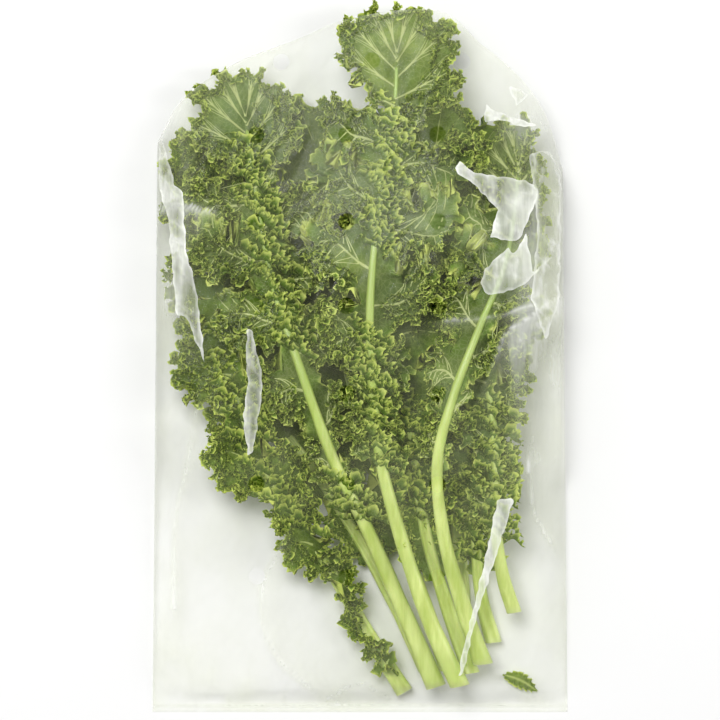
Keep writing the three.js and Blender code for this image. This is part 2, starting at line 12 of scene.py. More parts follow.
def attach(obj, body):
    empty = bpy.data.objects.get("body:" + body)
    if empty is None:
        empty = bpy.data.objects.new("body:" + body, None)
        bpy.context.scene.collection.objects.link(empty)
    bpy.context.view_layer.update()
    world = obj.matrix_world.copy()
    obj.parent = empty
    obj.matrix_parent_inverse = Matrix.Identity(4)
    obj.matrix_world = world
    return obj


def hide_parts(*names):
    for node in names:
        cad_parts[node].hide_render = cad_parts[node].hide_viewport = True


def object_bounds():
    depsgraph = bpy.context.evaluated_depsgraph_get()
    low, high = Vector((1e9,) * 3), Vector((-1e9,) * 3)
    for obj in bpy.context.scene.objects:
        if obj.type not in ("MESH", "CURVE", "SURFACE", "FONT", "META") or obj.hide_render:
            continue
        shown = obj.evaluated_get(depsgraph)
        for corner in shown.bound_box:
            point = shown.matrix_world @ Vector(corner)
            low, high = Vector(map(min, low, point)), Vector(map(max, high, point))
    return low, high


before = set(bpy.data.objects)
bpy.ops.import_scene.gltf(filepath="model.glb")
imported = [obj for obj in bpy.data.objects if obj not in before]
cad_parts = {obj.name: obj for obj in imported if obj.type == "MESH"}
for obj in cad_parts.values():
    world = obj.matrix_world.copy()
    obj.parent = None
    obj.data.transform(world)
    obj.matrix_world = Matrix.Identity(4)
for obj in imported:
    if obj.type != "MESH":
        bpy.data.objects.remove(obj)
cad_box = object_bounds()

MM = 0.001
TURN = 2 * math.pi

# ---- the leaves: the solids' outlines, with deeper gaps between the lobes ----

LOBE_PITCH = 0.124  # of the side lobes, as a share of the blade's length
TOP_LOBE = (0.62, 0.56)  # share where the top lobe starts, on the left and on the right
SINUS = 0.24  # half width between two lobes, as a share of the half width in a lobe
LOBE_FAN = 0.22  # how far a lobe's lines fan out, in radians
SCALLOP = 0.14  # depth of the top lobe's scallops, as a share of its reach
VEIN_ANGLE = 1.25  # between the midrib and a side vein, in radians
SOLID_FRILL_DEPTH = 17  # how far in from the margin the solids' own waves reach

# From the highest leaf to the lowest. radius is the stem's at its cut end, and bare the share of the path
# with no blade. left and right are the blade's half widths, foot is the share of them at its foot, and tip
# is the top lobe's reach. frill is the half height of the solid's own waves. A turned leaf shows its
# underside. folds is how many rows of folds stand on it. Its stem stays in sight up to the share shows,
# but for the shares in covered, where folds lie over it. fine is the spacing of the blade's points, and
# path is the stem and midrib in plan, from the cut end.
LEAF_KEYS = (
    "name", "seed", "radius", "bare", "foot", "left", "right", "tip", "frill", "turned", "folds", "shows",
    "fine", "covered", "path",
)
LEAF_TABLE = [
    ("b", 2, 6.0, 0.36, 0.35, 46, 50, 27, 3.8, True, 11, 0.69, 0.78, [(0.36, 0.57), (0.69, 0.9)],
     [(60, -196), (42, -157), (24, -105), (12, -58), (7, -10), (6, 34), (10, 80), (16, 122), (21, 156),
      (22, 186)]),
    ("a", 1, 6.3, 0.34, 0.3, 46, 42, 27, 3.8, True, 11, 0.6, 0.78, [(0.3, 0.38), (0.6, 0.95)],
     [(46, -197), (26, -151), (5, -103), (-15, -62), (-34, -10), (-50, 38), (-60, 84), (-66, 122),
      (-69, 148)]),
    ("c", 3, 5.8, 0.38, 0.3, 38, 22, 27, 3.7, True, 10, 1.0, 0.76, [],
     [(74, -183), (61, -145), (50, -105), (46, -61), (55, -23), (71, 19), (86, 55), (93, 92), (95, 118)]),
    ("d", 4, 5.2, 0.18, 0.45, 40, 36, 30, 3.6, False, 6, 0.5, 0.9, [(0.3, 0.54)],
     [(67, -189), (53, -150), (40, -106), (32, -54), (25, 0), (22, 48), (30, 96), (46, 130)]),
    ("f", 6, 4.6, 0.16, 0.3, 36, 28, 30, 3.5, True, 8, 0.5, 0.84, [(0.2, 0.52)],
     [(93, -152), (86, -130), (81, -96), (81, -54), (77, -18), (70, 15), (60, 46), (56, 76), (57, 98)]),
    ("i", 9, 5.2, 0.21, 0.45, 44, 42, 28, 3.5, False, 6, 0.5, 0.95, [],
     [(53, -187), (38, -144), (22, -96), (4, -48), (-10, 0), (-20, 48), (-26, 96), (-24, 130)]),
    ("e", 5, 4.8, 0.16, 0.3, 34, 24, 26, 3.4, False, 7, 0.5, 0.95, [(0.2, 0.46)],
     [(81, -171), (74, -146), (70, -106), (71, -60), (79, -16), (87, 24), (92, 60), (94, 86)]),
    ("g", 7, 5.4, 0.03, 0.24, 34, 30, 28, 3.4, False, 10, 0, 0.82, [(0.33, 0.7)],
     [(27, -201), (8, -171), (-12, -137), (-36, -98), (-60, -60), (-76, -16), (-83, 34), (-90, 78),
      (-96, 114)]),
    ("j", 10, 5.0, 0.12, 0.5, 40, 40, 30, 3.4, False, 3, 0.5, 1.4, [],
     [(62, -146), (60, -110), (56, -66), (52, -18), (50, 30), (56, 78), (68, 120)]),
    ("h", 8, 5.2, 0.2, 0.3, 40, 40, 30, 3.4, False, 6, 0.5, 1.05, [],
     [(40, -187), (21, -148), (-1, -108), (-26, -70), (-52, -32), (-70, 14), (-78, 62), (-82, 104)]),
]
LEAVES = [dict(zip(LEAF_KEYS, row)) for row in LEAF_TABLE]

# ---- the fine frill ----

MARGIN_GROWS = 3.0  # the blade's plan reaches this much further than the solid's, before its edge curls in
CURL_LENGTH = 14  # width of the strip along the margin that curls up
SWELL = 3.2  # half height of the blade's own broad waves
# The waves of the margin, each on top of the one before: wavelength along the edge as the wave before
# leaves it, half depth, reach in from the margin and how far the folds lean over each other, as a share.
WAVES = [
    {"length": 12.5, "depth": 4.6, "reach": 25, "lean": 0.3},
    {"length": 5.6, "depth": 1.7, "reach": 13, "lean": 0.25},
]
# The margin is so long that it folds back over the blade: each fold's distance from the margin and height.
RUFFLES = [
    (2, 3.8), (4.6, 4.4), (7.4, 4.8), (10.4, 5.0), (13.6, 5.0), (17, 5.0), (21, 4.8), (25.5, 4.6),
    (30.5, 4.2), (36, 4.0), (43, 3.6),
]
RUFFLE_WAVES = [{"length": 3.8, "depth": 1.9, "lean": 0.35}, {"length": 2.5, "depth": 0.75, "lean": 0.2}]
SHEET_STEP = 1.2  # the sheet's spacing, as a share of the blade's own
RUFFLE_STEP = 0.64  # the same for its folds
RUFFLE_UP = [0.0, 0.5, 0.86, 1.0]  # shares of a fold's height, close together at its edge
# The folds over a stem: their spacing along it, half their length along and across it, their height and how
# far they lean over each other.
OVER_SPACING, OVER_ALONG, OVER_ACROSS, OVER_HEIGHT, OVER_LEAN = 4.2, 11, 15, 5.2, 3.4
# Where a leaf lies smooth, with hardly any folds: the middle of the place in plan and its radius.
CALM = [
    (18, 180, 22), (-80, 146, 15), (56, 88, 23), (38, 0, 18), (-88, 38, 14), (-30, 116, 13), (78, 150, 11),
    (-6, 60, 10), (-52, -66, 12), (62, -22, 10), (-54, 112, 12), (-32, 76, 10), (64, -54, 10), (98, 62, 13),
]
QUILT = 2.4  # how far the blade swells between two veins
PUCKER = (2.8, 5.0)  # heights of its small and its large puckers
STEM_TAPER = 0.84  # how much thinner a stem is at its tip, as a share of its radius
SHINGLE = 5.0  # how much higher one flank of a lobe lies than the other
ROW_INSIDE = 3.0  # spacing of a blade's rows inside its lobes' feet
LIE = 0.35  # clear space between a leaf and the one over it

# ---- small tools ----


def smoothstep(x, low, high):
    s = np.clip((x - low) / (high - low), 0, 1)
    return s * s * (3 - 2 * s)


def unit(v):
    """Directions of length 1, one a row."""
    return v / np.maximum(np.linalg.norm(v, axis=1, keepdims=True), 1e-9)


def left_of(ahead):
    return np.stack([-ahead[..., 1], ahead[..., 0]], -1)


def walked(p):
    """How far along a line each of its points is."""
    return np.concatenate([[0], np.cumsum(np.linalg.norm(np.diff(p, axis=0), axis=1))])


def resampled(places, s, p):
    """A line at some places along it, from its points p at the places s."""
    return np.stack([np.interp(places, s, c) for c in p.T], -1)


def softened(p, passes):
    """A line whose points are drawn towards the ones beside them, but for its two ends."""
    for _ in range(passes):
        p[1:-1] = (p[:-2] + 2 * p[1:-1] + p[2:]) / 4
    return p


def blend(a, b, c, d, fu, fv):
    """Between four neighbours: a to b and c to d by fu, and these two by fv."""
    return (a * (1 - fu) + b * fu) * (1 - fv) + (c * (1 - fu) + d * fu) * fv


def wobble(x, length, seed):
    """Smooth noise along a line, about -1 to 1, with features of the given length."""
    random = np.random.default_rng(seed)
    total = np.zeros_like(x, dtype=float)
    for pace in (0.61, 1.0, 1.53):
        total += np.sin(TURN * x * pace / length + TURN * random.random())
    return total / 2.2


LATTICE = np.random.default_rng(11).random((97, 97))


def noise(x, y, cell, seed=0):
    """Smooth noise in plan, from 0 to 1, with features of the given size."""
    u = x / cell + 13.7 * seed
    v = y / cell + 7.3 * seed
    i = np.floor(u).astype(int)
    j = np.floor(v).astype(int)
    fu = smoothstep(u - i, 0, 1)
    fv = smoothstep(v - j, 0, 1)
    n = len(LATTICE)
    i, j, right, far = i % n, j % n, (i + 1) % n, (j + 1) % n
    return blend(LATTICE[i, j], LATTICE[right, j], LATTICE[i, far], LATTICE[right, far], fu, fv)


class Line:
    """A centripetal Catmull-Rom curve through points in plan, by the share of its length."""

    FINE = 60  # samples between two points

    def __init__(self, points):
        p = np.array(points, float)
        p = np.vstack([2 * p[0] - p[1], p, 2 * p[-1] - p[-2]])
        samples = []
        u = np.linspace(0, 1, self.FINE, endpoint=False)[:, None]
        for k in range(1, len(p) - 2):
            samples.append(self.span(p[k - 1 : k + 3], u))
        self.points = np.vstack([*samples, p[-2]])
        self.lengths = walked(self.points)
        self.length = self.lengths[-1]

    @staticmethod
    def span(p, u):
        d = [max(np.linalg.norm(p[k + 1] - p[k]) ** 0.5, 1e-6) for k in range(3)]
        start = (p[1] - p[0]) / d[0] - (p[2] - p[0]) / (d[0] + d[1]) + (p[2] - p[1]) / d[1]
        end = (p[2] - p[1]) / d[1] - (p[3] - p[1]) / (d[1] + d[2]) + (p[3] - p[2]) / d[2]
        start, end = start * d[1], end * d[1]
        square = -3 * p[1] + 3 * p[2] - 2 * start - end
        cube = 2 * p[1] - 2 * p[2] + start + end
        return p[1] + start * u + square * u**2 + cube * u**3

    def at(self, share):
        s = np.clip(share, 0, 1) * self.length
        return resampled(s, self.lengths, self.points)

    def ahead(self, share):
        share = np.asarray(share)
        d = self.at(share + 0.004) - self.at(share - 0.004)
        return d / np.linalg.norm(d, axis=-1, keepdims=True)


# ---- height maps in plan ----

CELL = 1.0
MAP_X = cad_box[0].x / MM - 6
MAP_Y = cad_box[0].y / MM - 6
COLUMNS = int((cad_box[1].x - cad_box[0].x) / MM / CELL) + 13
ROWS = int((cad_box[1].y - cad_box[0].y) / MM / CELL) + 13
CELLS_X = MAP_X + CELL * np.arange(COLUMNS)[None, :]
CELLS_Y = MAP_Y + CELL * np.arange(ROWS)[:, None]


def cells(x, y):
    i = np.clip(np.rint((x - MAP_X) / CELL).astype(int), 0, COLUMNS - 1)
    j = np.clip(np.rint((y - MAP_Y) / CELL).astype(int), 0, ROWS - 1)
    return j, i


def look_up(grid, x, y):
    """The map's value at x, y, blended between its cells."""
    u = np.clip((x - MAP_X) / CELL, 0, COLUMNS - 1.001)
    v = np.clip((y - MAP_Y) / CELL, 0, ROWS - 1.001)
    i = u.astype(int)
    j = v.astype(int)
    return blend(grid[j, i], grid[j, i + 1], grid[j + 1, i], grid[j + 1, i + 1], u - i, v - j)


def node_mesh(node):
    """A CAD node's corner points by triangle, in millimetres."""
    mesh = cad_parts[node].data
    mesh.calc_loop_triangles()
    points = np.empty(len(mesh.vertices) * 3)
    mesh.vertices.foreach_get("co", points)
    index = np.empty(len(mesh.loop_triangles) * 3, int)
    mesh.loop_triangles.foreach_get("vertices", index)
    return points.reshape(-1, 3)[index.reshape(-1, 3)] / MM


def surface_map(node, pick):
    """The node's height over each cell: its highest with pick=np.maximum, its lowest with np.minimum."""
    empty = -1e9 if pick is np.maximum else 1e9
    grid = np.full((ROWS, COLUMNS), empty)
    for a, b, c in node_mesh(node):
        area = (b[0] - a[0]) * (c[1] - a[1]) - (c[0] - a[0]) * (b[1] - a[1])
        if abs(area) < 1e-6:
            continue
        low = np.min([a, b, c], axis=0)
        high = np.max([a, b, c], axis=0)
        i = np.arange(math.ceil((low[0] - MAP_X) / CELL), math.floor((high[0] - MAP_X) / CELL) + 1)
        j = np.arange(math.ceil((low[1] - MAP_Y) / CELL), math.floor((high[1] - MAP_Y) / CELL) + 1)
        if not len(i) or not len(j):
            continue
        x = (MAP_X + i * CELL)[None, :]
        y = (MAP_Y + j * CELL)[:, None]
        u = ((x - a[0]) * (c[1] - a[1]) - (c[0] - a[0]) * (y - a[1])) / area
        v = ((b[0] - a[0]) * (y - a[1]) - (x - a[0]) * (b[1] - a[1])) / area
        inside = (u >= -1e-6) & (v >= -1e-6) & (u + v <= 1 + 1e-6)
        z = np.where(inside, a[2] + u * (b[2] - a[2]) + v * (c[2] - a[2]), empty)
        view = grid[j[0] : j[-1] + 1, i[0] : i[-1] + 1]
        pick(view, z, out=view)
    return np.where(np.abs(grid) > 1e8, np.nan, grid)


def shifted(grid):
    """The grid moved by one cell each way, with its border repeated."""
    padded = np.pad(grid, 1, mode="edge")
    rows, columns = grid.shape
    return [padded[1 + j : 1 + j + rows, 1 + i : 1 + i + columns] for j, i in
            ((-1, 0), (1, 0), (0, -1), (0, 1), (-1, -1), (-1, 1), (1, -1), (1, 1))]


def spread(grid, reach):
    """Fills the empty cells within reach of the filled ones."""
    for _ in range(reach):
        near = np.stack(shifted(grid))
        known = np.isfinite(near)
        total = np.where(known, near, 0).sum(0)
        count = known.sum(0)
        grid = np.where(np.isnan(grid) & (count > 0), total / np.maximum(count, 1), grid)
    return grid


def filled(grid, reach):
    """Fills the empty cells: within reach from their neighbours, and beyond it with the mean."""
    grid = spread(grid, reach)
    return np.where(np.isnan(grid), np.nanmean(grid), grid)


def blurred(grid, passes):
    for _ in range(passes):
        grid = (grid * 4 + sum(shifted(grid)[:4]) * 2 + sum(shifted(grid)[4:])) / 16
    return grid


# ---- meshes ----


def placed(name, data):
    made = bpy.data.objects.new(name, data)
    bpy.context.scene.collection.objects.link(made)
    return made


def mesh_of(name, points, faces, material, values=None, unwrapped=None):
    """A smooth mesh piece of the object from points in millimetres. values are named numbers by point,
    and unwrapped is where each point lies on the piece's flat map."""
    mesh = bpy.data.meshes.new(name)
    mesh.vertices.add(len(points))
    mesh.vertices.foreach_set("co", (np.asarray(points) * MM).astype(np.float32).ravel())
    mesh.loops.add(faces.size)
    mesh.loops.foreach_set("vertex_index", faces.ravel().astype(np.int32))
    mesh.polygons.add(len(faces))
    mesh.polygons.foreach_set("loop_start", np.arange(0, faces.size, 3, dtype=np.int32))
    mesh.update(calc_edges=True)
    mesh.shade_smooth()
    for key, value in (values or {}).items():
        layer = mesh.attributes.new(key, "FLOAT", "POINT")
        layer.data.foreach_set("value", np.asarray(value, np.float32).ravel())
    if unwrapped is not None:
        layer = mesh.uv_layers.new(name="OFBake")
        layer.data.foreach_set("uv", np.asarray(unwrapped, np.float32)[faces.ravel()].ravel())
    mesh.materials.append(material)
    mesh.validate()
    piece = placed(name, mesh)
    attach(piece, "root")
    return piece


def between(a, b):
    """Triangles between two rows of points, where one may have half as many steps as the other."""
    if len(a) == len(b):
        return [(a[:-1], a[1:], b[1:]), (a[:-1], b[1:], b[:-1])]
    if len(a) < len(b):
        return [(a[:-1], a[1:], b[1::2]), (a[1:], b[2::2], b[1::2]), (a[:-1], b[1::2], b[:-1:2])]
    return [(a[:-1:2], a[1::2], b[:-1]), (a[1::2], b[1:], b[:-1]), (a[1::2], a[2::2], b[1:])]


def grid_faces(index, strides=None):
    """Triangles over a grid of point numbers. Row r uses only every strides[r]th point of it."""
    rows = [row[:: strides[r]] for r, row in enumerate(index)] if strides is not None else list(index)
    made = [np.stack(t, -1) for a, b in zip(rows[:-1], rows[1:]) for t in between(a, b)]
    return np.vstack(made)


def only_used(faces, *arrays):
    """The faces and the arrays without the points that no face uses."""
    used, fresh = np.unique(faces, return_inverse=True)
    return fresh.reshape(faces.shape), [a[used] for a in arrays]


# ---- materials ----


def srgb(r, g, b):
    """A colour given as it shows, from 0 to 255, as the linear values that a shader takes."""
    def linear(v):
        v /= 255
        return v / 12.92 if v <= 0.04045 else ((v + 0.055) / 1.055) ** 2.4
    return (linear(r), linear(g), linear(b), 1.0)


class Nodes:
    """A material's node tree, with short calls for the nodes that this script uses."""

    def __init__(self, name):
        self.material = bpy.data.materials.new(name)
        self.material.use_nodes = True
        self.tree = self.material.node_tree
        self.tree.nodes.clear()
        self.output = self.tree.nodes.new("ShaderNodeOutputMaterial")

    def add(self, kind, inputs=None, output=0, **settings):
        """Adds a node and gives its output of that name or number."""
        node = self.tree.nodes.new("ShaderNode" + kind)
        for key, value in settings.items():
            setattr(node, key, value)
        for key, value in (inputs or {}).items():
            if isinstance(value, bpy.types.NodeSocket):
                self.tree.links.new(value, node.inputs[key])
            else:
                node.inputs[key].default_value = value
        return node.outputs[output]

    def value(self, name):
        return self.add("Attribute", output="Fac", attribute_name=name)

    def noise(self, scale, detail=2.0, roughness=0.5, stretch=None):
        place = self.add("TexCoord", output="Object")
        if stretch:
            place = self.add("Mapping", {"Vector": place, "Scale": stretch})
        inputs = {"Vector": place, "Scale": scale, "Detail": detail, "Roughness": roughness}
        return self.add("TexNoise", inputs, "Fac")

    def range(self, value, low, high, to_low=0.0, to_high=1.0):
        return self.add("MapRange", {0: value, 1: low, 2: high, 3: to_low, 4: to_high},
                        interpolation_type="SMOOTHSTEP")

    def math(self, operation, a, b=0.0, clamp=False):
        return self.add("Math", {0: a, 1: b}, operation=operation, use_clamp=clamp)

    def mix(self, factor, a, b):
        return self.add("Mix", {0: factor, 6: a, 7: b}, 2, data_type="RGBA")

    def finish(self, shader):
        self.tree.links.new(shader, self.output.inputs["Surface"])
        return self.material


THROUGH = (168, 203, 30)  # the colour of light that comes through a blade
# Painted shade: the dark colour below goes at a fold's foot and under the folds, where their shade falls.
FOLD_FOOT_SHADE = (40, 62, 10)  # the colour deep between two folds


def leaf_material(name, roughness, *colours):
    """A leaf's skin: deep to light green in soft patches, some of them cooler, richer where it is folded
    and with painted shade at a fold's foot and under its folds, with pale veins and a pale edge."""
    deep, main, light, cool, folded, vein, edge = (srgb(*c) for c in colours)
    n = Nodes(name)
    patches = n.noise(38.0, 3.0, 0.55)
    grain = n.noise(420.0, 4.0, 0.6)
    colour = n.mix(n.range(patches, 0.34, 0.68), deep, main)
    colour = n.mix(n.range(grain, 0.35, 0.75, 0.0, 0.35), colour, light)
    shaded = n.noise(17.0, 2.0, 0.5)
    colour = n.mix(n.range(shaded, 0.48, 0.68, 0.0, 0.55), colour, cool)
    richer = n.mix(n.range(patches, 0.45, 0.75, 0.0, 0.7), folded, main)
    richer = n.mix(n.range(shaded, 0.48, 0.68, 0.0, 0.4), richer, cool)
    colour = n.mix(n.math("MULTIPLY", n.value("fold"), 0.92), colour, richer)
    # Painted shade: where the rim value is below 0, at a fold's foot and on the blade under its folds, the
    # colour is drawn dark.
    colour = n.mix(n.math("MULTIPLY", n.value("rim"), -0.7, True), colour, srgb(*FOLD_FOOT_SHADE))
    colour = n.mix(n.math("MULTIPLY", n.value("rim"), 0.9, True), colour, edge)
    colour = n.mix(n.math("MULTIPLY", n.value("vein"), 0.9, True), colour, vein)
    fine = n.add("TexVoronoi", {"Vector": n.add("TexCoord", output="Object"), "Scale": 330.0}, "Distance",
                 feature="DISTANCE_TO_EDGE")
    net = n.range(fine, 0.0, 0.12, 1.0, 0.0)
    colour = n.mix(n.math("MULTIPLY", net, 0.16), colour, vein)
    bump = n.add("Bump", {"Height": n.math("ADD", grain, n.math("MULTIPLY", net, -0.5)),
                          "Strength": 0.35, "Distance": 0.0004})
    skin = n.add("BsdfPrincipled", {"Base Color": colour, "Roughness": n.range(grain, 0.3, 0.7,
                                    roughness - 0.08, roughness + 0.1), "Specular IOR Level": 0.14,
                                    "Normal": bump})
    glow = n.add("BsdfTranslucent", {"Color": n.mix(0.5, colour, srgb(*THROUGH))})
    both = n.add("MixShader", {0: 0.28, 1: skin, 2: glow})
    return n.finish(both)


def stem_material():
    """A stem: pale yellow-green, ribbed along its length, and nearly white at its cut end."""
    n = Nodes("kale_stalk")
    streaks = n.noise(160.0, 4.0, 0.6, (1.0, 0.06, 1.0))
    patches = n.noise(30.0, 2.0)
    colour = n.mix(n.range(streaks, 0.3, 0.7), srgb(178, 196, 92), srgb(218, 230, 146))
    colour = n.mix(n.range(patches, 0.4, 0.75, 0.0, 0.5), colour, srgb(160, 182, 76))
    colour = n.mix(n.value("tip"), colour, srgb(148, 172, 82))
    colour = n.mix(n.value("cut"), colour, srgb(236, 240, 196))
    bump = n.add("Bump", {"Height": streaks, "Strength": 0.3, "Distance": 0.0006})
    skin = n.add("BsdfPrincipled", {"Base Color": colour, "Roughness": 0.38, "Normal": bump,
                                    "Specular IOR Level": 0.5, "Subsurface Weight": 0.25,
                                    "Subsurface Scale": 0.004,
                                    "Subsurface Radius": (0.6, 1.0, 0.25)})
    return n.finish(skin)


FILM_IOR = 1.13  # lower than real film's, so that its glints do not hide the leaves


def film_material():
    """Clear film: it mirrors like plastic, and its front sheet veils what lies under it a little, partly its
    own haze and partly a painted reflection of the room. It is milky where it is creased or doubled, in
    streaks along the bag, and its thickest milk is partly painted glare."""
    n = Nodes("produce_film")
    mirror = n.math("MINIMUM", n.add("Fresnel", {"IOR": FILM_IOR}), 0.3)
    cloud = n.noise(16.0, 3.0, 0.55)
    crinkle = n.noise(70.0, 4.0, 0.6)
    bump = n.add("Bump", {"Height": crinkle, "Strength": 0.2, "Distance": 0.001})
    clear = n.add("BsdfTransparent", {"Color": (0.996, 0.997, 0.995, 1)})
    shine = n.add("BsdfGlossy", {"Color": (1, 1, 1, 1), "Roughness": 0.12, "Normal": bump})
    glass = n.add("MixShader", {0: mirror, 1: clear, 2: shine})
    streaks = n.noise(90.0, 5.0, 0.65, (1.0, 0.14, 1.0))
    haze_and_glare = n.math("MULTIPLY", n.value("haze_and_glare"), n.range(streaks, 0.36, 0.62, 0.66, 1.14))
    # Painted glare: the thicker the milk, the whiter its colour, partly the doubled film's own milkiness and
    # partly glare of the lights.
    colour = n.mix(n.range(haze_and_glare, 0.05, 0.35), (0.82, 0.87, 0.56, 1), (0.93, 0.945, 0.89, 1))
    milk = n.add("BsdfPrincipled", {"Base Color": colour, "Roughness": 0.35, "Normal": bump})
    through = n.add("BsdfTranslucent", {"Color": colour})
    soft = n.add("MixShader", {0: n.range(haze_and_glare, 0.05, 0.35, 0.5, 0.12), 1: milk,
                               2: through})
    # Painted reflection: a thin milky veil on the front sheet, partly the film's own haze, stands in for the
    # reflection of the bright room.
    veil_and_reflection = n.math("MULTIPLY", n.value("front"), n.range(cloud, 0.36, 0.66, 0.02, 0.11))
    share = n.math("MINIMUM", n.math("ADD", veil_and_reflection, haze_and_glare), 0.85)
    both = n.add("MixShader", {0: share, 1: glass, 2: soft})
    return n.finish(both)


def floor_material():
    n = Nodes("studio_floor")
    soft = n.noise(3.0, 2.0)
    colour = n.mix(soft, (0.77, 0.77, 0.765, 1), (0.79, 0.79, 0.79, 1))
    skin = n.add("BsdfPrincipled", {"Base Color": colour, "Roughness": 0.75})
    return n.finish(skin)


UPPER = leaf_material(
    "kale_leaf_upper", 0.5,
    (60, 86, 16), (121, 146, 48), (160, 178, 78), (64, 102, 46), (110, 142, 42),
    (196, 208, 124), (234, 245, 122),
)
UNDER = leaf_material(
    "kale_leaf_under", 0.6,
    (92, 116, 42), (137, 157, 78), (172, 184, 108), (98, 128, 74), (112, 144, 44),
    (220, 228, 160), (236, 246, 134),
)
STALK = stem_material()
FILM = film_material()

# ---- the pile's room: no piece goes over what lies on it ----

bag_top = spread(surface_map("bag", np.maximum), 12)
ceiling = np.where(np.isnan(bag_top), 200.0, bag_top)
pile_top = np.zeros((ROWS, COLUMNS))


def press_down(z, x, y, own=None):
    """Keeps a piece's points under all that lies over it, and under a limit of its own."""
    j, i = cells(x, y)
    z = np.minimum(z, ceiling[j, i] - LIE)
    return z if own is None else np.minimum(z, own[j, i])


def lay_over(points):
    """What lies under these points stays under them, and the film stays over them."""
    j, i = cells(points[:, 0], points[:, 1])
    np.minimum.at(ceiling, (j, i), points[:, 2])
    np.maximum.at(pile_top, (j, i), points[:, 2])


# ---- one leaf ----


def stem_radius(leaf, share):
    return leaf["radius"] * (1 - STEM_TAPER * share**0.75)


def root_share(leaf, b):
    return leaf["bare"] + (1 - leaf["bare"]) * np.sin(math.pi / 2 * b)


def past_top_lobe(side, b):
    start = TOP_LOBE[0 if side > 0 else 1]
    return (b - start) / (1 - start)


def across_lobe(side, b):
    return np.mod((TOP_LOBE[0 if side > 0 else 1] - b) / LOBE_PITCH, 1)


def half_width(leaf, side, b):
    """The blade's half width over its length, with its lobes."""
    full = leaf["left"] if side > 0 else leaf["right"]
    widest = full * (leaf["foot"] + (1 - leaf["foot"]) * smoothstep(b, 0, 0.4))
    past = past_top_lobe(side, b)
    lobed = widest * (SINUS + (1 - SINUS) * np.abs(np.sin(math.pi * across_lobe(side, b))) ** 0.6)
    reach = widest + (leaf["tip"] - widest) * smoothstep(past, 0.3, 1)
    notch = SCALLOP * (0.5 - 0.5 * np.cos(7 * math.pi * (1 - past)))
    top = reach * (SINUS + (1 - SINUS) * smoothstep(past, 0, 0.22)) * (1 - notch)
    return np.where(past < 0, lobed, top) + MARGIN_GROWS


def vein_angle(side, b):
    past = past_top_lobe(side, b)
    lobed = VEIN_ANGLE - LOBE_FAN * np.sin(TURN * across_lobe(side, b))
    return np.where(past < 0, lobed, VEIN_ANGLE * (1 - np.clip(past, 0, 1) ** 1.2))


def blade_plan(leaf, midrib, side, b, t):
    """The points in plan a share t of the way from the midrib to the margin, on the lines at shares b."""
    share = root_share(leaf, b)
    root = midrib.at(share)
    ahead = midrib.ahead(share)
    angle = vein_angle(side, b)[..., None]
    out = ahead * np.cos(angle) + left_of(ahead) * side * np.sin(angle)
    return root + out * (half_width(leaf, side, b) * t)[..., None]


class Margin:
    """A blade's edge in plan, from the foot on the left round the tip to the foot on the right."""

    def __init__(self, leaf, midrib):
        b = np.linspace(0, 1, 2600)
        left = blade_plan(leaf, midrib, 1, b, np.ones_like(b))
        right = blade_plan(leaf, midrib, -1, b, np.ones_like(b))[::-1]
        p = np.vstack([left, right[1:]])
        s = walked(p)
        even = np.arange(0, s[-1], 0.4)
        self.points = resampled(even, s, p)
        self.along = even
        self.share = np.interp(even, s, np.concatenate([b, b[-2::-1]]))
        self.ahead = unit(softened(np.gradient(self.points, axis=0), 3))
        self.tree = KDTree(len(self.points))
        for k, (x, y) in enumerate(self.points):
            self.tree.insert((x, y, 0), k)
        self.tree.balance()

    def nearest(self, plan):
        """For points in plan: how far the edge is, where it is along the edge, and its direction."""
        found = np.array([self.tree.find((x, y, 0))[1] for x, y in plan])
        ahead = self.ahead[found]
        past = np.einsum("ij,ij->i", plan - self.points[found], ahead)
        past = np.clip(past, -0.3, 0.3)
        away = np.linalg.norm(plan - self.points[found] - ahead * past[:, None], axis=1)
        return away, self.along[found] + past, ahead


def calm(x, y):
    """How smooth a leaf lies at a place in plan, from 0 to 1."""
    return np.max([smoothstep(r - np.hypot(x - a, y - b), -2, 6) for a, b, r in CALM], axis=0)


def crispness(b):
    """How crisp the frill is, by the share of the blade's length."""
    return 1 - 0.4 * smoothstep(b, 0.66, 0.95)


def blade_columns(leaf, midrib, spacing):
    """Shares of the blade's length, close together where its outline is long."""
    b = np.linspace(0, 1, 4000)
    step = np.zeros(len(b) - 1)
    for side in (1, -1):
        edge = blade_plan(leaf, midrib, side, b, np.full_like(b, 0.9))
        out = half_width(leaf, side, b)
        moved = np.linalg.norm(np.diff(edge, axis=0), axis=1)
        across = np.sqrt(np.maximum(moved**2 - np.diff(out) ** 2 * 0.81, 0))
        step = np.maximum(step, across + 0.22 * np.abs(np.diff(out)))
    total = np.concatenate([[0], np.cumsum(step)])
    count = 4 * int(total[-1] / spacing / 4)
    return np.interp(np.linspace(0, total[-1], count + 1), total, b)


def blade_rows(leaf, spacing):
    """Shares of the way from the midrib to the margin, and the stride along each row."""
    full = max(leaf["left"], leaf["right"]) + MARGIN_GROWS
    inside = np.linspace(0, 0.32, max(3, round(0.32 * full / ROW_INSIDE)), endpoint=False)
    middle = np.linspace(0.32, 0.7, round(0.38 * full / (2.6 * spacing)), endpoint=False)
    outside = np.linspace(0.7, 1, round(0.3 * full / (1.3 * spacing)))
    strides = np.concatenate([np.full(len(inside), 4), np.full(len(middle), 2), np.full(len(outside), 1)])
    return np.concatenate([inside, middle, outside]), strides


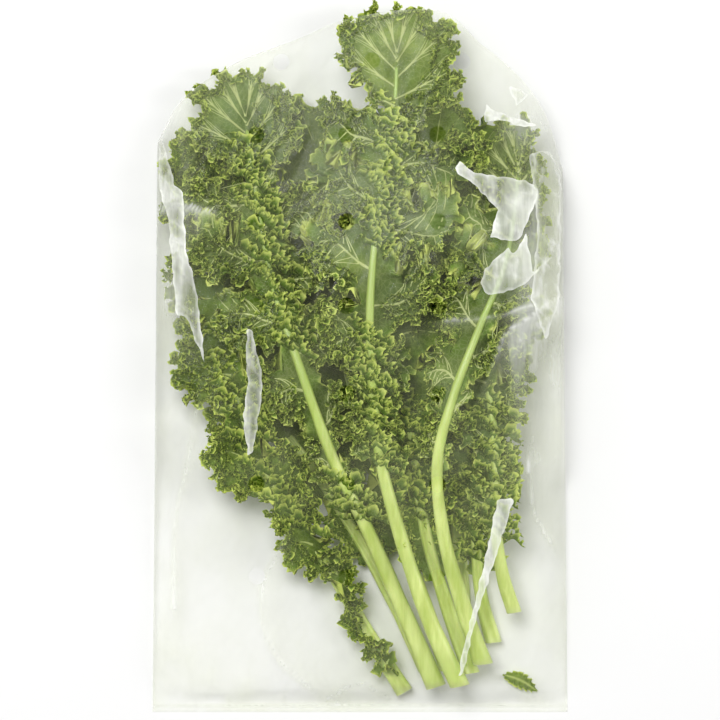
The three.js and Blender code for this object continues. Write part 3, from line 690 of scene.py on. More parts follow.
def vein_lines(side):
    """A blade's side veins as (share of the blade's length at t, first t, last t, half width)."""
    start = TOP_LOBE[0 if side > 0 else 1]
    mains = [start - (k + 0.5) * LOBE_PITCH for k in range(int(start / LOBE_PITCH + 0.5))]
    lines = []

    def past(t, first):
        return np.clip((t - first) / (1 - first), 0, 1)

    def bent(m):
        return lambda t: m + 0.02 * np.sin(4 * t + 40 * m) * t

    def branch(m, first, swing):
        return lambda t: bent(m)(t) + swing * LOBE_PITCH * past(t, first) ** 0.8

    def top_branch(m, first, turn):
        return lambda t: np.clip(m + turn * 0.1 * (1 - start) * past(t, first), 0, 1)

    for main in mains:
        lines.append((bent(main), 0.0, 0.9, 0.95))
        for first, swing in ((0.18, 0.3), (0.3, 0.36), (0.42, 0.42), (0.55, 0.4), (0.7, 0.3)):
            for turn in (-1, 1):
                lines.append((branch(main, first, swing * turn), first + 0.03 * turn, 0.94, 0.42))
    for share in (0.1, 0.28, 0.46, 0.64, 0.82):
        main = start + share * (1 - start)
        lines.append((lambda t, m=main: np.full_like(t, m), 0.0, 0.92, 0.85))
        for first in (0.25, 0.42, 0.6):
            for turn in (-1, 1):
                lines.append((top_branch(main, first, turn), first, 0.94, 0.3))
    return lines


def vein_mask(leaf, midrib, side, t, plan):
    """How much of a vein is at each point, and how far the nearest main one is."""
    mask = np.zeros(plan.shape[:2])
    away = np.full(plan.shape[:2], 30.0)
    for share, first, last, width in vein_lines(side):
        line = blade_plan(leaf, midrib, side, np.clip(share(t), 0, 1), t)
        distance = np.linalg.norm(plan - line[:, None, :], axis=2)
        shown = (t >= first) * (1 - smoothstep(t, last - 0.25, last))
        if width > 0.5:
            half = 1.6 * width * (1 - 0.72 * t) + 0.3
            mask = np.maximum(mask, np.exp(-((distance / half[:, None]) ** 2)) * shown[:, None])
            away = np.minimum(away, distance + 30 * (shown[:, None] < 0.05))
    return mask, away


def vein_strips(leaf, b, t, surface):
    """The veins as narrow ridges on the blade's surface: their points and triangles."""
    points, faces = [], []
    for side in (1, -1):
        widest = leaf["left"] if side > 0 else leaf["right"]
        for share, first, last, width in vein_lines(side):
            if width < 0.5 and not leaf["turned"]:
                continue
            s = np.linspace(first, last, max(6, int((last - first) * widest / 1.5)))
            where = share(s)
            if where.min() < 0.01:
                continue
            c = np.interp(where, b, np.arange(len(b)))
            r = np.interp(side * s, t, np.arange(len(t)))
            i, j = np.minimum(r.astype(int), len(t) - 2), np.minimum(c.astype(int), len(b) - 2)
            fr, fc = (r - i)[:, None], (c - j)[:, None]
            middle = blend(surface[i, j], surface[i, j + 1], surface[i + 1, j], surface[i + 1, j + 1], fc, fr)
            left = np.column_stack([left_of(unit(np.gradient(middle, axis=0))), np.zeros(len(s))])
            half = (width * (1 - 0.8 * (s - first) / (last - first)) + 0.1)[:, None]
            high = np.array([0, 0, 1]) * (half * (0.8 if leaf["turned"] else 0.2) + 0.1)
            down = np.array([0, 0, -0.3])
            rows = np.stack([middle - left * half + down, middle + high, middle + left * half + down])
            index = np.arange(3 * len(s)).reshape(3, len(s)) + sum(len(q) for q in points)
            points.append(rows.reshape(-1, 3))
            faces.append(grid_faces(index))
    return np.vstack(points), np.vstack(faces)


def blade_base(leaf, midrib, b, t, solid):
    """The blade's height without its frill, on the grid of shares, from the solid's underside."""
    rows = []
    for signed in t:
        side = 1 if signed >= 0 else -1
        share = abs(signed)
        plan = blade_plan(leaf, midrib, side, b, np.full_like(b, share))
        z = look_up(solid, plan[:, 0], plan[:, 1])
        inset = half_width(leaf, side, b) * (1 - share)
        near = 1 - smoothstep(inset, 0, SOLID_FRILL_DEPTH)
        z = z - leaf["frill"] * near * (0.4 + 0.6 * smoothstep(b, 0, 0.3)) * 0.95
        known = np.isfinite(z)
        rows.append(np.interp(b, b[known], z[known]) if known.any() else rows[-1])
    z = np.array(rows)
    # A running mean over one wave of the solid's frill takes its waves out.
    reach = max(2, int(len(b) * 0.035))
    weights = np.hanning(2 * reach + 1)
    weights /= weights.sum()
    padded = np.pad(z, ((0, 0), (reach, reach)), mode="edge")
    z = np.stack([np.convolve(row, weights, mode="valid") for row in padded])
    padded = np.pad(z, ((2, 2), (0, 0)), mode="edge")
    return sum(padded[k : k + len(z)] for k in range(5)) / 5


class Frill:
    """The waves along a blade's margin: their phases and strengths by the place along the edge."""

    STEP = 0.1

    def __init__(self, waves, seed, length):
        self.s = np.arange(0, length + self.STEP, self.STEP)
        self.waves = []
        place = self.s
        stretch = np.ones_like(self.s)
        for k, wave in enumerate(waves):
            pace = TURN / wave["length"]
            phase = pace * place + 1.5 * wobble(place, wave["length"] * 2.9, seed + 2 + k)
            depth = wave["depth"] * (0.8 + 0.3 * wobble(place, wave["length"] * 4.3, seed + 5 + k))
            self.waves.append({**wave, "pace": pace, "phase": phase, "depth": depth})
            ahead = 1 - 2 * wave["lean"] * depth * pace * np.cos(2 * phase)
            stretch = stretch * np.hypot(ahead, depth * pace * np.cos(phase))
            place = np.cumsum(stretch) * self.STEP

    def at(self, wave, key, along):
        return np.interp(along, self.s, wave[key])


def frilled(leaf, plan, base, away, along, ahead, crisp, length):
    """The points of a blade with its edge curled up and gathered in waves, by how crisp it is there."""
    seed = leaf["seed"] * 10
    up = np.array([0, 0, 1.0])
    out = np.column_stack([left_of(ahead), np.zeros(len(plan))])
    tangent = np.column_stack([ahead, np.zeros(len(plan))])

    angle = np.clip((1.5 + 0.8 * wobble(along, 47, seed)) * (0.35 + 0.65 * crisp), 0.15, 2.6)
    strip = CURL_LENGTH * (1 + 0.2 * wobble(along, 71, seed + 1))
    q = np.clip(strip - away, 0, None)
    turn = angle * q / strip
    shift = np.sin(turn) * strip / angle - q
    rise = (1 - np.cos(turn)) * strip / angle
    p = np.column_stack([plan, base]) + out * shift[:, None] + up * rise[:, None]
    normal = up * np.cos(turn)[:, None] - out * np.sin(turn)[:, None]
    frill = Frill(WAVES, seed, length)
    for k, wave in enumerate(frill.waves):
        phase = frill.at(wave, "phase", along)
        reach = np.clip(1 - away / wave["reach"], 0, 1) ** 1.3
        depth = frill.at(wave, "depth", along) * reach * (0.45 + 0.55 * crisp)
        p = p + normal * (depth * np.sin(phase))[:, None]
        p = p - tangent * (wave["lean"] * depth * np.sin(2 * phase))[:, None]
        if k == 0:
            p = p + up * (0.75 * depth * np.cos(turn))[:, None]
        go = 1 - 2 * wave["lean"] * depth * wave["pace"] * np.cos(2 * phase)
        climb = depth * wave["pace"] * np.cos(phase)
        size = np.hypot(go, climb)[:, None]
        go, climb = go[:, None], climb[:, None]
        normal, tangent = (normal * go - tangent * climb) / size, (tangent * go + normal * climb) / size
    return p


def beside_stem(leaf, midrib, stem_height):
    """How high the blade may come over each cell, so that its own stem stays in sight."""
    share = np.linspace(0, 1, 150)
    line = midrib.at(share)
    limit = np.full((ROWS, COLUMNS), 1e3)
    for (px, py), s in zip(line, share):
        if s > leaf["shows"]:
            break
        radius = stem_radius(leaf, s)
        away = np.hypot(CELLS_X - px, CELLS_Y - py)
        side = stem_height(s) - 0.1 * radius + 1.5 * np.clip(away - radius - 0.8, 0, None)
        limit = np.minimum(limit, np.where(away < radius + 9, side, 1e3))
    return limit


def ruffles(leaf, margin, base, limit):
    """The folds of the margin that stand on the blade, as one_ruffle gives them. They are rooted on the
    sheet, which has the height base before it is frilled."""
    inward = -left_of(margin.ahead)
    made = []
    for number, (inset, height) in enumerate(RUFFLES[: leaf["folds"]]):
        seed = leaf["seed"] * 100 + number * 10
        way = margin.points + inward * (inset * (1 + 0.2 * wobble(margin.along, 37, seed)))[:, None]
        way = softened(way, 12)
        away, along, ahead = margin.nearest(way)
        smooth = calm(way[:, 0], way[:, 1])
        kept = (away > 0.78 * inset) & (margin.share > 0.02)
        kept &= smooth < 0.5 + 0.3 * wobble(margin.along, 31, seed + 1)
        crisp = crispness(margin.share) * (1 - 0.25 * smooth)
        rooted = frilled(leaf, way, look_up(base, way[:, 0], way[:, 1]), away, along, ahead, crisp,
                         margin.along[-1])
        cuts = np.flatnonzero(np.diff(kept.astype(int))) + 1
        for run in np.split(np.arange(len(kept)), cuts):
            if kept[run[0]] and len(run) > 20:
                made.append(one_ruffle(leaf, rooted[run], height, limit, seed + len(made), number))
    return made


def over_stem(leaf, midrib, stem_height, sheet):
    """Folds of the blade that lie over its own stem, from one side of it to the other."""
    top = np.full((ROWS, COLUMNS), -1e9)
    j, i = cells(sheet[:, 0], sheet[:, 1])
    np.maximum.at(top, (j, i), sheet[:, 2])
    top = filled(np.where(top < -1e8, np.nan, top), 5)
    made = []
    u = np.linspace(-1, 1, 60)
    for first, last in leaf["covered"]:
        places = np.arange(first * midrib.length, last * midrib.length, OVER_SPACING)
        places = places + 1.3 * wobble(places, 9.7, leaf["seed"] + 1)
        for place, slant, reach in zip(places, wobble(places, 13, 3), wobble(places, 19, leaf["seed"])):
            along = place + (OVER_ALONG + 6 * slant) * u + 2.0 * wobble(14 * u + 3.1 * place, 11, 7)
            share = np.clip(along / midrib.length, 0, 1)
            ahead = midrib.ahead(share)
            aside = (OVER_ACROSS + 3 * reach) * u
            x, y = (midrib.at(share) + left_of(ahead) * aside[:, None]).T
            radius = stem_radius(leaf, share)
            stem = stem_height(share) + 0.8 * radius - 0.6 * np.clip(np.abs(aside) - radius, 0, None)
            foot = np.maximum(look_up(top, x, y) - 0.4, stem)
            seed = leaf["seed"] * 100 + 50 + len(made)
            way = np.column_stack([x, y, foot])
            made.append(one_ruffle(leaf, way, OVER_HEIGHT + reach, None, seed, len(RUFFLES),
                                   OVER_LEAN + 1.8 * slant))
    return made


def one_ruffle(leaf, way, height, limit, seed, number, lean=0.0):
    """A fold of a blade that stands on a line of points: height is its own, lean how far it leans aside
    at its edge, and limit how high it may come over each cell. It gives the fold's points, triangles, rim
    values and places on the flat map."""
    s = walked(way[:, :2])
    length = s[-1]
    even = np.linspace(0, length, max(8, int(length / (RUFFLE_STEP * leaf["fine"]))))
    root = resampled(even, s, way[:, :2])
    foot = np.interp(even, s, way[:, 2])
    ahead = unit(np.gradient(root, axis=0))
    across = -left_of(ahead)
    # A fold dies away at both its ends, and its height comes and goes.
    ends = smoothstep(np.minimum(even, length - even), 0, 5)
    high = height * ends * (0.75 + 0.3 * wobble(even, 19, seed) + 0.14 * wobble(even, 2.3, seed + 3))
    up = np.array(RUFFLE_UP)[:, None]
    frill = Frill(RUFFLE_WAVES, seed, length)
    over = (0.5 * wobble(even, 23, seed + 2) * high + lean * ends)[None, :] * up
    flat = root[None] + across[None] * over[..., None]
    for k, wave in enumerate(frill.waves):
        phase = frill.at(wave, "phase", even)[None, :]
        depth = frill.at(wave, "depth", even)[None, :] * ends * up ** (1 + 0.5 * k)
        flat = flat + across[None] * (depth * np.sin(phase + 0.5 * up))[..., None]
        flat = flat - ahead[None] * (wave["lean"] * depth * np.sin(2 * phase))[..., None]
    z = foot[None, :] - 0.5 + (high + 0.5) * up
    p = np.concatenate([flat, z[..., None]], -1).reshape(-1, 3)
    p[:, 2] = press_down(p[:, 2], p[:, 0], p[:, 1], limit)
    index = np.arange(len(p)).reshape(z.shape)
    # The rim value is -1 at a fold's foot, where shade is painted darkest, and 1 at its pale edge.
    edge = np.broadcast_to(smoothstep(up, 0.5, 0.95) + smoothstep(up, 0, 0.6) - 1, z.shape).ravel()
    start = (seed % 10) * 0.097
    place = np.stack(np.broadcast_arrays(0.01 + start + 0.09 * even[None, :] / max(length, 1),
                                         0.56 + 0.036 * number + 0.034 * up), -1)
    return p, grid_faces(index), edge, place.reshape(-1, 2)


def make_blade(leaf, midrib, stem_height):
    """The lobed, frilled blade as one sheet, with its veins."""
    node = "blade_" + leaf["name"]
    solid = spread(surface_map(node, np.minimum), 14)
    b = blade_columns(leaf, midrib, SHEET_STEP * leaf["fine"])
    half_rows, half_strides = blade_rows(leaf, SHEET_STEP * leaf["fine"])
    t = np.concatenate([-half_rows[:0:-1], half_rows])
    strides = np.concatenate([half_strides[:0:-1], half_strides])
    base = blade_base(leaf, midrib, b, t, solid)

    plan = np.empty((len(t), len(b), 2))
    vein = np.empty((len(t), len(b)))
    apart = np.empty((len(t), len(b)))
    for side in (1, -1):
        rows = t >= 0 if side > 0 else t < 0
        share = np.abs(t[rows])
        grid_b = np.broadcast_to(b, (len(share), len(b)))
        grid_t = np.broadcast_to(share[:, None], (len(share), len(b)))
        plan[rows] = blade_plan(leaf, midrib, side, grid_b, grid_t)
        vein[rows], apart[rows] = vein_mask(leaf, midrib, side, share, plan[rows])

    flat = plan.reshape(-1, 2)
    margin = Margin(leaf, midrib)
    away, along, ahead = margin.nearest(flat)
    away = away.reshape(base.shape)

    from_rib = np.linalg.norm(plan - plan[len(half_rows) - 1][None], axis=2)
    # Inside, the blade is quilted: it swells between the veins, which are ridges on its underside.
    sign = -1 if leaf["turned"] else 1
    inner = smoothstep(away, 2, 12)
    quilt = QUILT * (1 - np.exp(-apart / 6)) * inner * sign
    small = noise(flat[:, 0], flat[:, 1], 8, leaf["seed"]) - 0.5
    large = noise(flat[:, 0], flat[:, 1], 17, leaf["seed"] + 3) - 0.5
    pucker = (PUCKER[0] * small + PUCKER[1] * large).reshape(base.shape) * inner
    ridge = (0.5 if leaf["turned"] else -0.4) * vein
    floor_under = base - (0.0 if leaf["turned"] else 0.2)
    z = base + 0.8 * inner + quilt + pucker + ridge
    for side in (1, -1):
        rows = t >= 0 if side > 0 else t < 0
        tilt = np.where(past_top_lobe(side, b) < 0, 0.5 - across_lobe(side, b), 0)
        widest = leaf["left"] if side > 0 else leaf["right"]
        out = smoothstep(from_rib[rows], SINUS * widest + 2, 0.9 * widest)
        z[rows] += SHINGLE * (0.4 + tilt[None, :] * side) * out
    # The blade grows out of the sides of its stem.
    centre = stem_height(root_share(leaf, b))
    radius = stem_radius(leaf, root_share(leaf, b))
    joined = np.exp(-((from_rib / (radius + 4)) ** 2))
    z = z + (centre - 0.1 * radius - z) * joined

    swell = SWELL * (noise(flat[:, 0], flat[:, 1], 27, leaf["seed"] + 5) - 0.35).reshape(base.shape)
    z = z + swell * smoothstep(from_rib, 4, 20)
    crisp = np.broadcast_to(crispness(b), base.shape).ravel()
    crisp = crisp * (1 - 0.25 * calm(flat[:, 0], flat[:, 1]))
    before = np.full((ROWS, COLUMNS), np.nan)
    j, i = cells(flat[:, 0], flat[:, 1])
    before[j, i] = z.ravel()
    before = filled(before, 4)
    p = frilled(leaf, flat, z.ravel(), away.ravel(), along, ahead, crisp, margin.along[-1])
    lowest = np.minimum(floor_under, z).ravel()
    p[:, 2] = np.maximum(p[:, 2], lowest)
    by_stem = beside_stem(leaf, midrib, stem_height)
    p[:, 2] = press_down(p[:, 2], p[:, 0], p[:, 1], by_stem)

    strips = vein_strips(leaf, b, t, p.reshape(*base.shape, 3))
    index = np.arange(len(p)).reshape(base.shape)
    index[: len(half_rows) - 1, -1] = index[: len(half_rows) - 1 : -1, -1]
    reach = RUFFLES[leaf["folds"] - 1][0]
    # Painted shade: under marks where folds stand on the blade, and the rim value is lowered there, which
    # paints the blade darker under them.
    under = smoothstep(away, 1.5, 5) * (1 - smoothstep(away, reach, reach + 4))
    under = under.ravel() * (1 - calm(flat[:, 0], flat[:, 1]))
    rim = np.exp(-away.ravel() / 1.2) - 0.5 * under
    folded = smoothstep(12 - away.ravel(), 0, 8) * crisp
    v = np.broadcast_to(0.28 + 0.26 * t[:, None], base.shape).ravel()
    u = np.broadcast_to(np.linspace(0.01, 0.99, len(b)), base.shape).ravel()
    faces, (p, rim, folded, veins, flat_map) = only_used(
        grid_faces(index, strides), p, rim, folded, vein.ravel(), np.column_stack([u, v]),
    )
    more = ruffles(leaf, margin, before, by_stem) + over_stem(leaf, midrib, stem_height, p)
    for points, triangles, edge, place in more:
        faces = np.vstack([faces, triangles + len(p)])
        p = np.vstack([p, points])
        rim = np.concatenate([rim, edge])
        flat_map = np.vstack([flat_map, place])
    veins = np.concatenate([0.12 * veins, np.zeros(len(p) - len(veins)), np.ones(len(strips[0]))])
    folded = np.concatenate([folded, np.ones(len(p) - len(folded)), np.zeros(len(strips[0]))])
    faces = np.vstack([faces, strips[1] + len(p)])
    p = np.vstack([p, strips[0]])
    rim = np.concatenate([rim, np.zeros(len(strips[0]))])
    flat_map = np.vstack([flat_map, np.full((len(strips[0]), 2), 0.005)])
    piece = mesh_of("kale_" + node, p, faces,
                    UNDER if leaf["turned"] else UPPER, {"rim": rim, "fold": folded, "vein": veins}, flat_map)
    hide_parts(node)
    return p


# Half of a stem's section from the middle of its grooved face round to its keel, as shares of its radius.
STEM_SECTION = [
    (0.0, 0.30), (0.22, 0.36), (0.42, 0.52), (0.60, 0.54), (0.80, 0.40), (0.95, 0.14), (1.0, -0.12),
    (0.93, -0.42), (0.76, -0.66), (0.52, -0.82), (0.26, -0.90), (0.0, -0.93),
]
STEM_STEP = 4.4
STEM_REACH = 0.97


def stem_centre(leaf, midrib):
    """The height of the stem's centre by its share of the path, from the solid's top."""
    top = spread(surface_map("stem_" + leaf["name"], np.maximum), 4)
    share = np.linspace(0, STEM_REACH, 120)
    place = midrib.at(share)
    z = look_up(top, place[:, 0], place[:, 1])
    radius = stem_radius(leaf, share)
    z = z - radius * (0.9 if leaf["turned"] else 0.5)
    known = np.isfinite(z)
    z = np.interp(share, share[known], z[known])
    padded = np.pad(z, 4, mode="edge")
    z = np.convolve(padded, np.ones(9) / 9, mode="valid")
    return lambda s: np.interp(s, share, z)


def make_stem(leaf, midrib, height):
    half = np.array(STEM_SECTION)
    section = np.vstack([half, (half * (-1, 1))[-2:0:-1]])
    around = len(section)
    count = int(midrib.length * STEM_REACH / STEM_STEP)
    share = np.linspace(0, STEM_REACH, count + 1)
    centre = np.column_stack([midrib.at(share), height(share)])
    ahead = midrib.ahead(share)
    side = np.column_stack([left_of(ahead), np.zeros(len(share))])
    radius = stem_radius(leaf, share)
    radius = radius * (1 + 0.035 * wobble(share * midrib.length, 46, leaf["seed"] + 70))
    turn = -1 if leaf["turned"] else 1
    ring = np.arange(around)
    ribs = 1 + 0.03 * np.sin(ring * TURN * 5 / around + leaf["seed"])
    x = section[:, 0] * ribs
    z = section[:, 1] * ribs * turn
    p = centre[:, None] + side[:, None] * (radius[:, None] * x)[..., None]
    p = p + np.array([0, 0, 1]) * (radius[:, None] * z)[..., None]
    # The cut end is cut a little slanting, with a narrow rounded edge and a face that is not quite flat.
    along3 = np.column_stack([ahead, np.zeros(len(share))])[0]
    tilt = 0.22 * wobble(np.array([leaf["seed"] * 31.0]), 17, 5)[0] + 0.12
    p[0] += along3 * (x * leaf["radius"] * tilt)[:, None]
    rings = [centre[0] + (p[0] - centre[0]) * w - along3 * lift for w, lift in
             ((0.35, 0.25), (0.8, 0.35), (0.95, 0.2))]
    p = np.concatenate([np.array(rings), p])
    cut = np.array([1, 1, 0.85, 0.25] + [0] * count, float)
    fade = np.concatenate([[0, 0, 0], smoothstep(share, 0.25, 0.85)])
    index = np.arange(p.shape[0] * around).reshape(-1, around)
    index = np.hstack([index, index[:, :1]])
    faces = grid_faces(index)
    points = p.reshape(-1, 3)
    middle = len(points)
    end = middle + 1
    points = np.vstack([points, centre[0] - along3 * 0.2, centre[-1] + (centre[-1] - centre[-2]) * 0.4])
    ends = [(middle, index[0, k + 1], index[0, k]) for k in range(around)]
    ends += [(end, index[-1, k], index[-1, k + 1]) for k in range(around)]
    if turn > 0:
        faces, ends = faces[:, ::-1], [(a, c, b) for a, b, c in ends]
    points[:, 2] = press_down(points[:, 2], points[:, 0], points[:, 1])
    values = {
        "cut": np.append(np.repeat(cut, around), [1, 0]),
        "tip": np.append(np.repeat(fade, around), [0, 1]),
    }
    node = "stem_" + leaf["name"]
    piece = mesh_of("kale_" + node, points, np.vstack([faces, ends]), STALK, values)
    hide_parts(node)
    return points


for leaf in LEAVES:
    midrib = Line(leaf["path"])
    height = stem_centre(leaf, midrib)
    stem = make_stem(leaf, midrib, height)
    blade = make_blade(leaf, midrib, height)
    lay_over(stem)
    lay_over(blade)

# ---- the loose scrap of leaf ----

SCRAP = {"x": 97, "y": -196, "length": 23, "width": 5.2, "turn": -0.45, "lift": 1.6}


def make_scrap():
    s = np.linspace(0, 1, 90)
    t = np.linspace(-1, 1, 25)
    half = SCRAP["width"] * np.sin(math.pi * np.clip(s, 0.02, 0.985)) ** 0.7
    comb = 1 - 0.3 * (0.5 + 0.5 * np.sin(TURN * 6.5 * s)) ** 2
    x = (s - 0.5) * SCRAP["length"]
    y = t[:, None] * (half * comb)[None, :] + 1.6 * np.sin(math.pi * s)[None, :]
    out = np.abs(t)[:, None] ** 2
    z = SCRAP["lift"] + out * (1.1 + 0.9 * np.sin(TURN * 7.3 * s + 1.2 * np.sign(t)[:, None]))
    x = x[None, :] + out * 0.8 * np.sin(TURN * 7.3 * s)
    c, w = math.cos(SCRAP["turn"]), math.sin(SCRAP["turn"])
    p = np.stack([SCRAP["x"] + c * x - w * y, SCRAP["y"] + w * x + c * y, z], -1).reshape(-1, 3)
    index = np.arange(len(p)).reshape(len(t), len(s))
    vein = np.broadcast_to(np.exp(-((t[:, None] * 6) ** 2)), z.shape)
    rim = np.broadcast_to(smoothstep(np.abs(t), 0.72, 1)[:, None], z.shape)
    flat = np.stack(np.broadcast_arrays(0.02 + 0.96 * s[None, :], 0.5 + 0.3 * t[:, None]), -1)
    piece = mesh_of("kale_scrap", p, grid_faces(index), UPPER,
                    {"rim": rim.ravel(), "vein": vein.ravel()}, flat.reshape(-1, 2))
    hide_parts("leaf_scrap")
    lay_over(p)


make_scrap()

# ---- the bag ----

BAG_WIDTH = 252
BAG_BOTTOM = -213.7
BAG_TAPER = 3.5  # how much narrower each half of it is at the middle of its mouth
# The mouth's edge in plan: shares of the half width, and the edge's y there.
MOUTH = [(-1, 132), (-0.86, 158), (-0.6, 178), (-0.3, 192), (0, 205), (0.3, 209), (0.6, 188), (0.86, 158),
         (1, 116)]
WELD = 4  # height of the welded strip along its bottom
SIDE_ROUND = 4.5  # how far in from each side the film begins to turn round
VENT_RADIUS = 5
VENT_COLUMNS = (-62, -8, 46)
VENT_ROWS = (178, 134, 82, 32, -20, -74, -130)
TOP_VENT_SHIFT = 15  # the top row of vents sits this much to the right
FILM_STEP = 2.05  # spacing of the front sheet's points

# Creases of the front film in plan: the height of its ridge, the ridge's half width, how milky the film is
# beside it, how far that reaches (to the left of its course where positive), and its course.
CREASES = [
    (2.4, 2.6, 0.12, 7, [(-99, -32), (-104, -62), (-112, -100), (-113, -150)]),
    (3.2, 3.2, 0.14, 14, [(-48, -112), (-59, -136), (-59, -158), (-50, -180), (-30, -200)]),
    (1.6, 2.2, 0.4, -4, [(-121, 92), (-108, 93), (-90, 90)]),
    (1.4, 2.2, 0.2, -5, [(52, 24), (84, 27), (101, 33)]),
    (1.8, 2.2, 0.3, -22, [(82, 7), (86, 16), (101, 26), (117, 37)]),
    (1.6, 2.2, 0.16, 9, [(100, -62), (104, -92), (114, -110)]),
    (1.2, 2.4, 0.1, 5, [(-20, -206), (0, -196), (18, -206)]),
]
# Folds where the film lies doubled over itself: how milky they are, and their outlines in plan. Their white
# is partly the doubled film's own milk and partly painted glare of the lights.
FOLDS_AND_GLARE = [
    (0.22, [(89, 164), (101, 160), (100, 157), (93, 152), (92, 157)]),
    (0.34, [(75, 153), (74, 142), (86, 143), (98, 139), (106, 141), (88, 146), (79, 149)]),
    (0.38, [(56, 114), (59, 118), (68, 111), (99, 107), (107, 102), (104, 92), (96, 74), (93, 71),
     (86, 71), (77, 73), (82, 89), (68, 104), (60, 109)]),
    (0.35, [(71, 46), (75, 55), (88, 67), (92, 63), (99, 76), (103, 52), (115, 62), (101, 48), (95, 43),
     (76, 38)]),
    (0.15, [(101, 123), (113, 126), (121, 114), (119, 36), (111, 12), (102, 36), (106, 78)]),
    (0.28, [(-121, 134), (-118, 130), (-111, 105), (-106, 100), (-104, 65), (-98, 43), (-94, 10),
     (-93, -2), (-104, 26), (-110, 27), (-112, 50), (-115, 86), (-120, 100), (-121, 118)]),
    (0.3, [(-67, 19), (-64, 17), (-58, -11), (-59, -25), (-64, -55), (-67, -57), (-70, -34), (-67, -16),
     (-68, 7)]),
    (0.36, [(82, -83), (92, -83), (82, -115), (69, -156), (62, -188), (59, -190), (61, -177), (69, -144),
     (76, -113)]),
]

mouth_line = Line(MOUTH).points


def half_bag(y):
    return BAG_WIDTH / 2 - BAG_TAPER * (y - BAG_BOTTOM) / (MOUTH[4][1] - BAG_BOTTOM)


def vents():
    return [(x + (TOP_VENT_SHIFT if r == 0 else 0), y) for r, y in enumerate(VENT_ROWS) for x in VENT_COLUMNS]


def ridges(x, y, long, wide, turn, seed):
    """Sharp creases that run in one direction, from 0 to 1."""
    u = x * math.cos(turn) + y * math.sin(turn)
    v = y * math.cos(turn) - x * math.sin(turn)
    return (1 - np.abs(2 * noise(u * wide / long, v, wide, seed) - 1)) ** 5


def drawn_tight():
    """The front film's height over each cell, stretched over the pile, and how far it hangs free."""
    under = pile_top
    for _ in range(2):
        under = np.max([under, *shifted(under)], axis=0)
    under = under + 0.3
    start = np.where(np.isnan(bag_top), under, bag_top)
    held = (np.abs(CELLS_X) > half_bag(CELLS_Y) - 2) | (CELLS_Y < BAG_BOTTOM + WELD)
    z = np.maximum(start, under)
    for _ in range(420):
        z = np.where(held, start, np.maximum(blurred(z, 1), under))
    return blurred(z, 2) + 0.15, smoothstep(z - under, 0.8, 5)


film_height, film_free = drawn_tight()


def beside(line, x, y):
    """Each point's distance from a line in plan, and 1 or -1 for the line's left or right."""
    p = line.at(np.linspace(0, 1, 60))
    apart = np.full(x.shape, 1e9)
    side = np.ones(x.shape)
    for a, b in zip(p[:-1], p[1:]):
        d = b - a
        s = np.clip(((x - a[0]) * d[0] + (y - a[1]) * d[1]) / (d @ d), 0, 1)
        away = np.hypot(x - a[0] - s * d[0], y - a[1] - s * d[1])
        cross = np.sign(d[0] * (y - a[1]) - d[1] * (x - a[0]))
        side = np.where(away < apart, cross, side)
        apart = np.minimum(away, apart)
    return apart, side


def film_at(x, y):
    """The front film's height and milkiness at points in plan."""
    z = look_up(film_height, x, y)
    free = look_up(film_free, x, y)
    half = half_bag(y)
    share = np.clip(x / half, -1, 1)
    to_mouth = np.interp(share, mouth_line[:, 0], mouth_line[:, 1]) - y
    side = np.clip((np.abs(x) - half + SIDE_ROUND) / SIDE_ROUND, 0, 1)
    haze_and_glare = 0.15 * side**3
    inside = 1 - side
    empty = 1 - smoothstep(z, 6, 14)
    fall = ridges(x, y, 60, 15, 1.25, 3) * (0.5 + 2.1 * empty) + ridges(x, y, 46, 9, 2.0, 5) * 0.9 * empty
    fine = ridges(x, y, 24, 5.5, 0.9, 8) * 0.45 + ridges(x, y, 13, 3.4, 2.3, 9) * 0.25
    z = z + (fall * free + fine) * inside
    haze_and_glare = haze_and_glare + (0.05 * fall * free + 0.05 * fine) * inside
    z = z + 1.6 * (1 + wobble(x, 58, 4)) * np.exp(-np.clip(to_mouth, 0, None) / 12) * inside
    haze_and_glare = haze_and_glare + 0.15 * np.exp(-np.abs(to_mouth) / 1.5) + 0.05 * np.exp(-np.abs(to_mouth) / 30)
    aside = x + 6 * wobble(y, 60, 14)
    # A milky band runs down the right side, and another down the left, partly the film's own haze and partly
    # painted glare of the lights.
    band = smoothstep(aside, 76, 100) * smoothstep(y, -95, -10)
    band = band + smoothstep(-aside, 92, 108) * smoothstep(y, -20, 20)
    band = band * smoothstep(170 - y, 0, 30)
    haze_and_glare = haze_and_glare + band * (0.07 + 0.2 * noise(x, y, 26, 15)) * inside
    for ridge, width, milky, reach, path in CREASES:
        apart, left = beside(Line(path), x, y)
        z = z + ridge * np.exp(-apart / width) * inside
        # Its milkiness ends where the film turns round, or it would run down the side walls.
        haze_and_glare = haze_and_glare + milky * np.exp(-apart / abs(reach)) * np.where(left * reach > 0, 1, 0) * inside
        haze_and_glare = haze_and_glare + 0.12 * np.exp(-((apart / 1.8) ** 2)) * inside
    # Its two sides are folded round, and its bottom is welded flat.
    z = 0.5 + (z - 0.5) * np.sqrt(np.clip(1 - side**2, 0, 1))
    from_weld = y - BAG_BOTTOM - WELD
    z = 0.7 + (z - 0.7) * smoothstep(from_weld, -0.5, 16) ** 0.7
    weld = np.exp(-((from_weld / 0.8) ** 2)) + np.exp(-(((from_weld + WELD - 0.4) / 0.7) ** 2))
    haze_and_glare = haze_and_glare + 0.2 * weld
    return z, haze_and_glare


def sheet_plan(step):
    """Points in plan over the whole bag, in rows from its bottom to its mouth."""
    share = np.linspace(-1, 1, int(BAG_WIDTH / step) + 1)
    # The last columns are closer together, because the film turns round there.
    share = np.sin(math.pi / 2 * share) * 0.12 + share * 0.88
    top = np.interp(share, mouth_line[:, 0], mouth_line[:, 1])
    rows = int((MOUTH[4][1] - BAG_BOTTOM) / step) + 1
    up = np.linspace(0, 1, rows)[:, None]
    y = BAG_BOTTOM + (top - BAG_BOTTOM)[None, :] * up
    return share[None, :] * half_bag(y), y


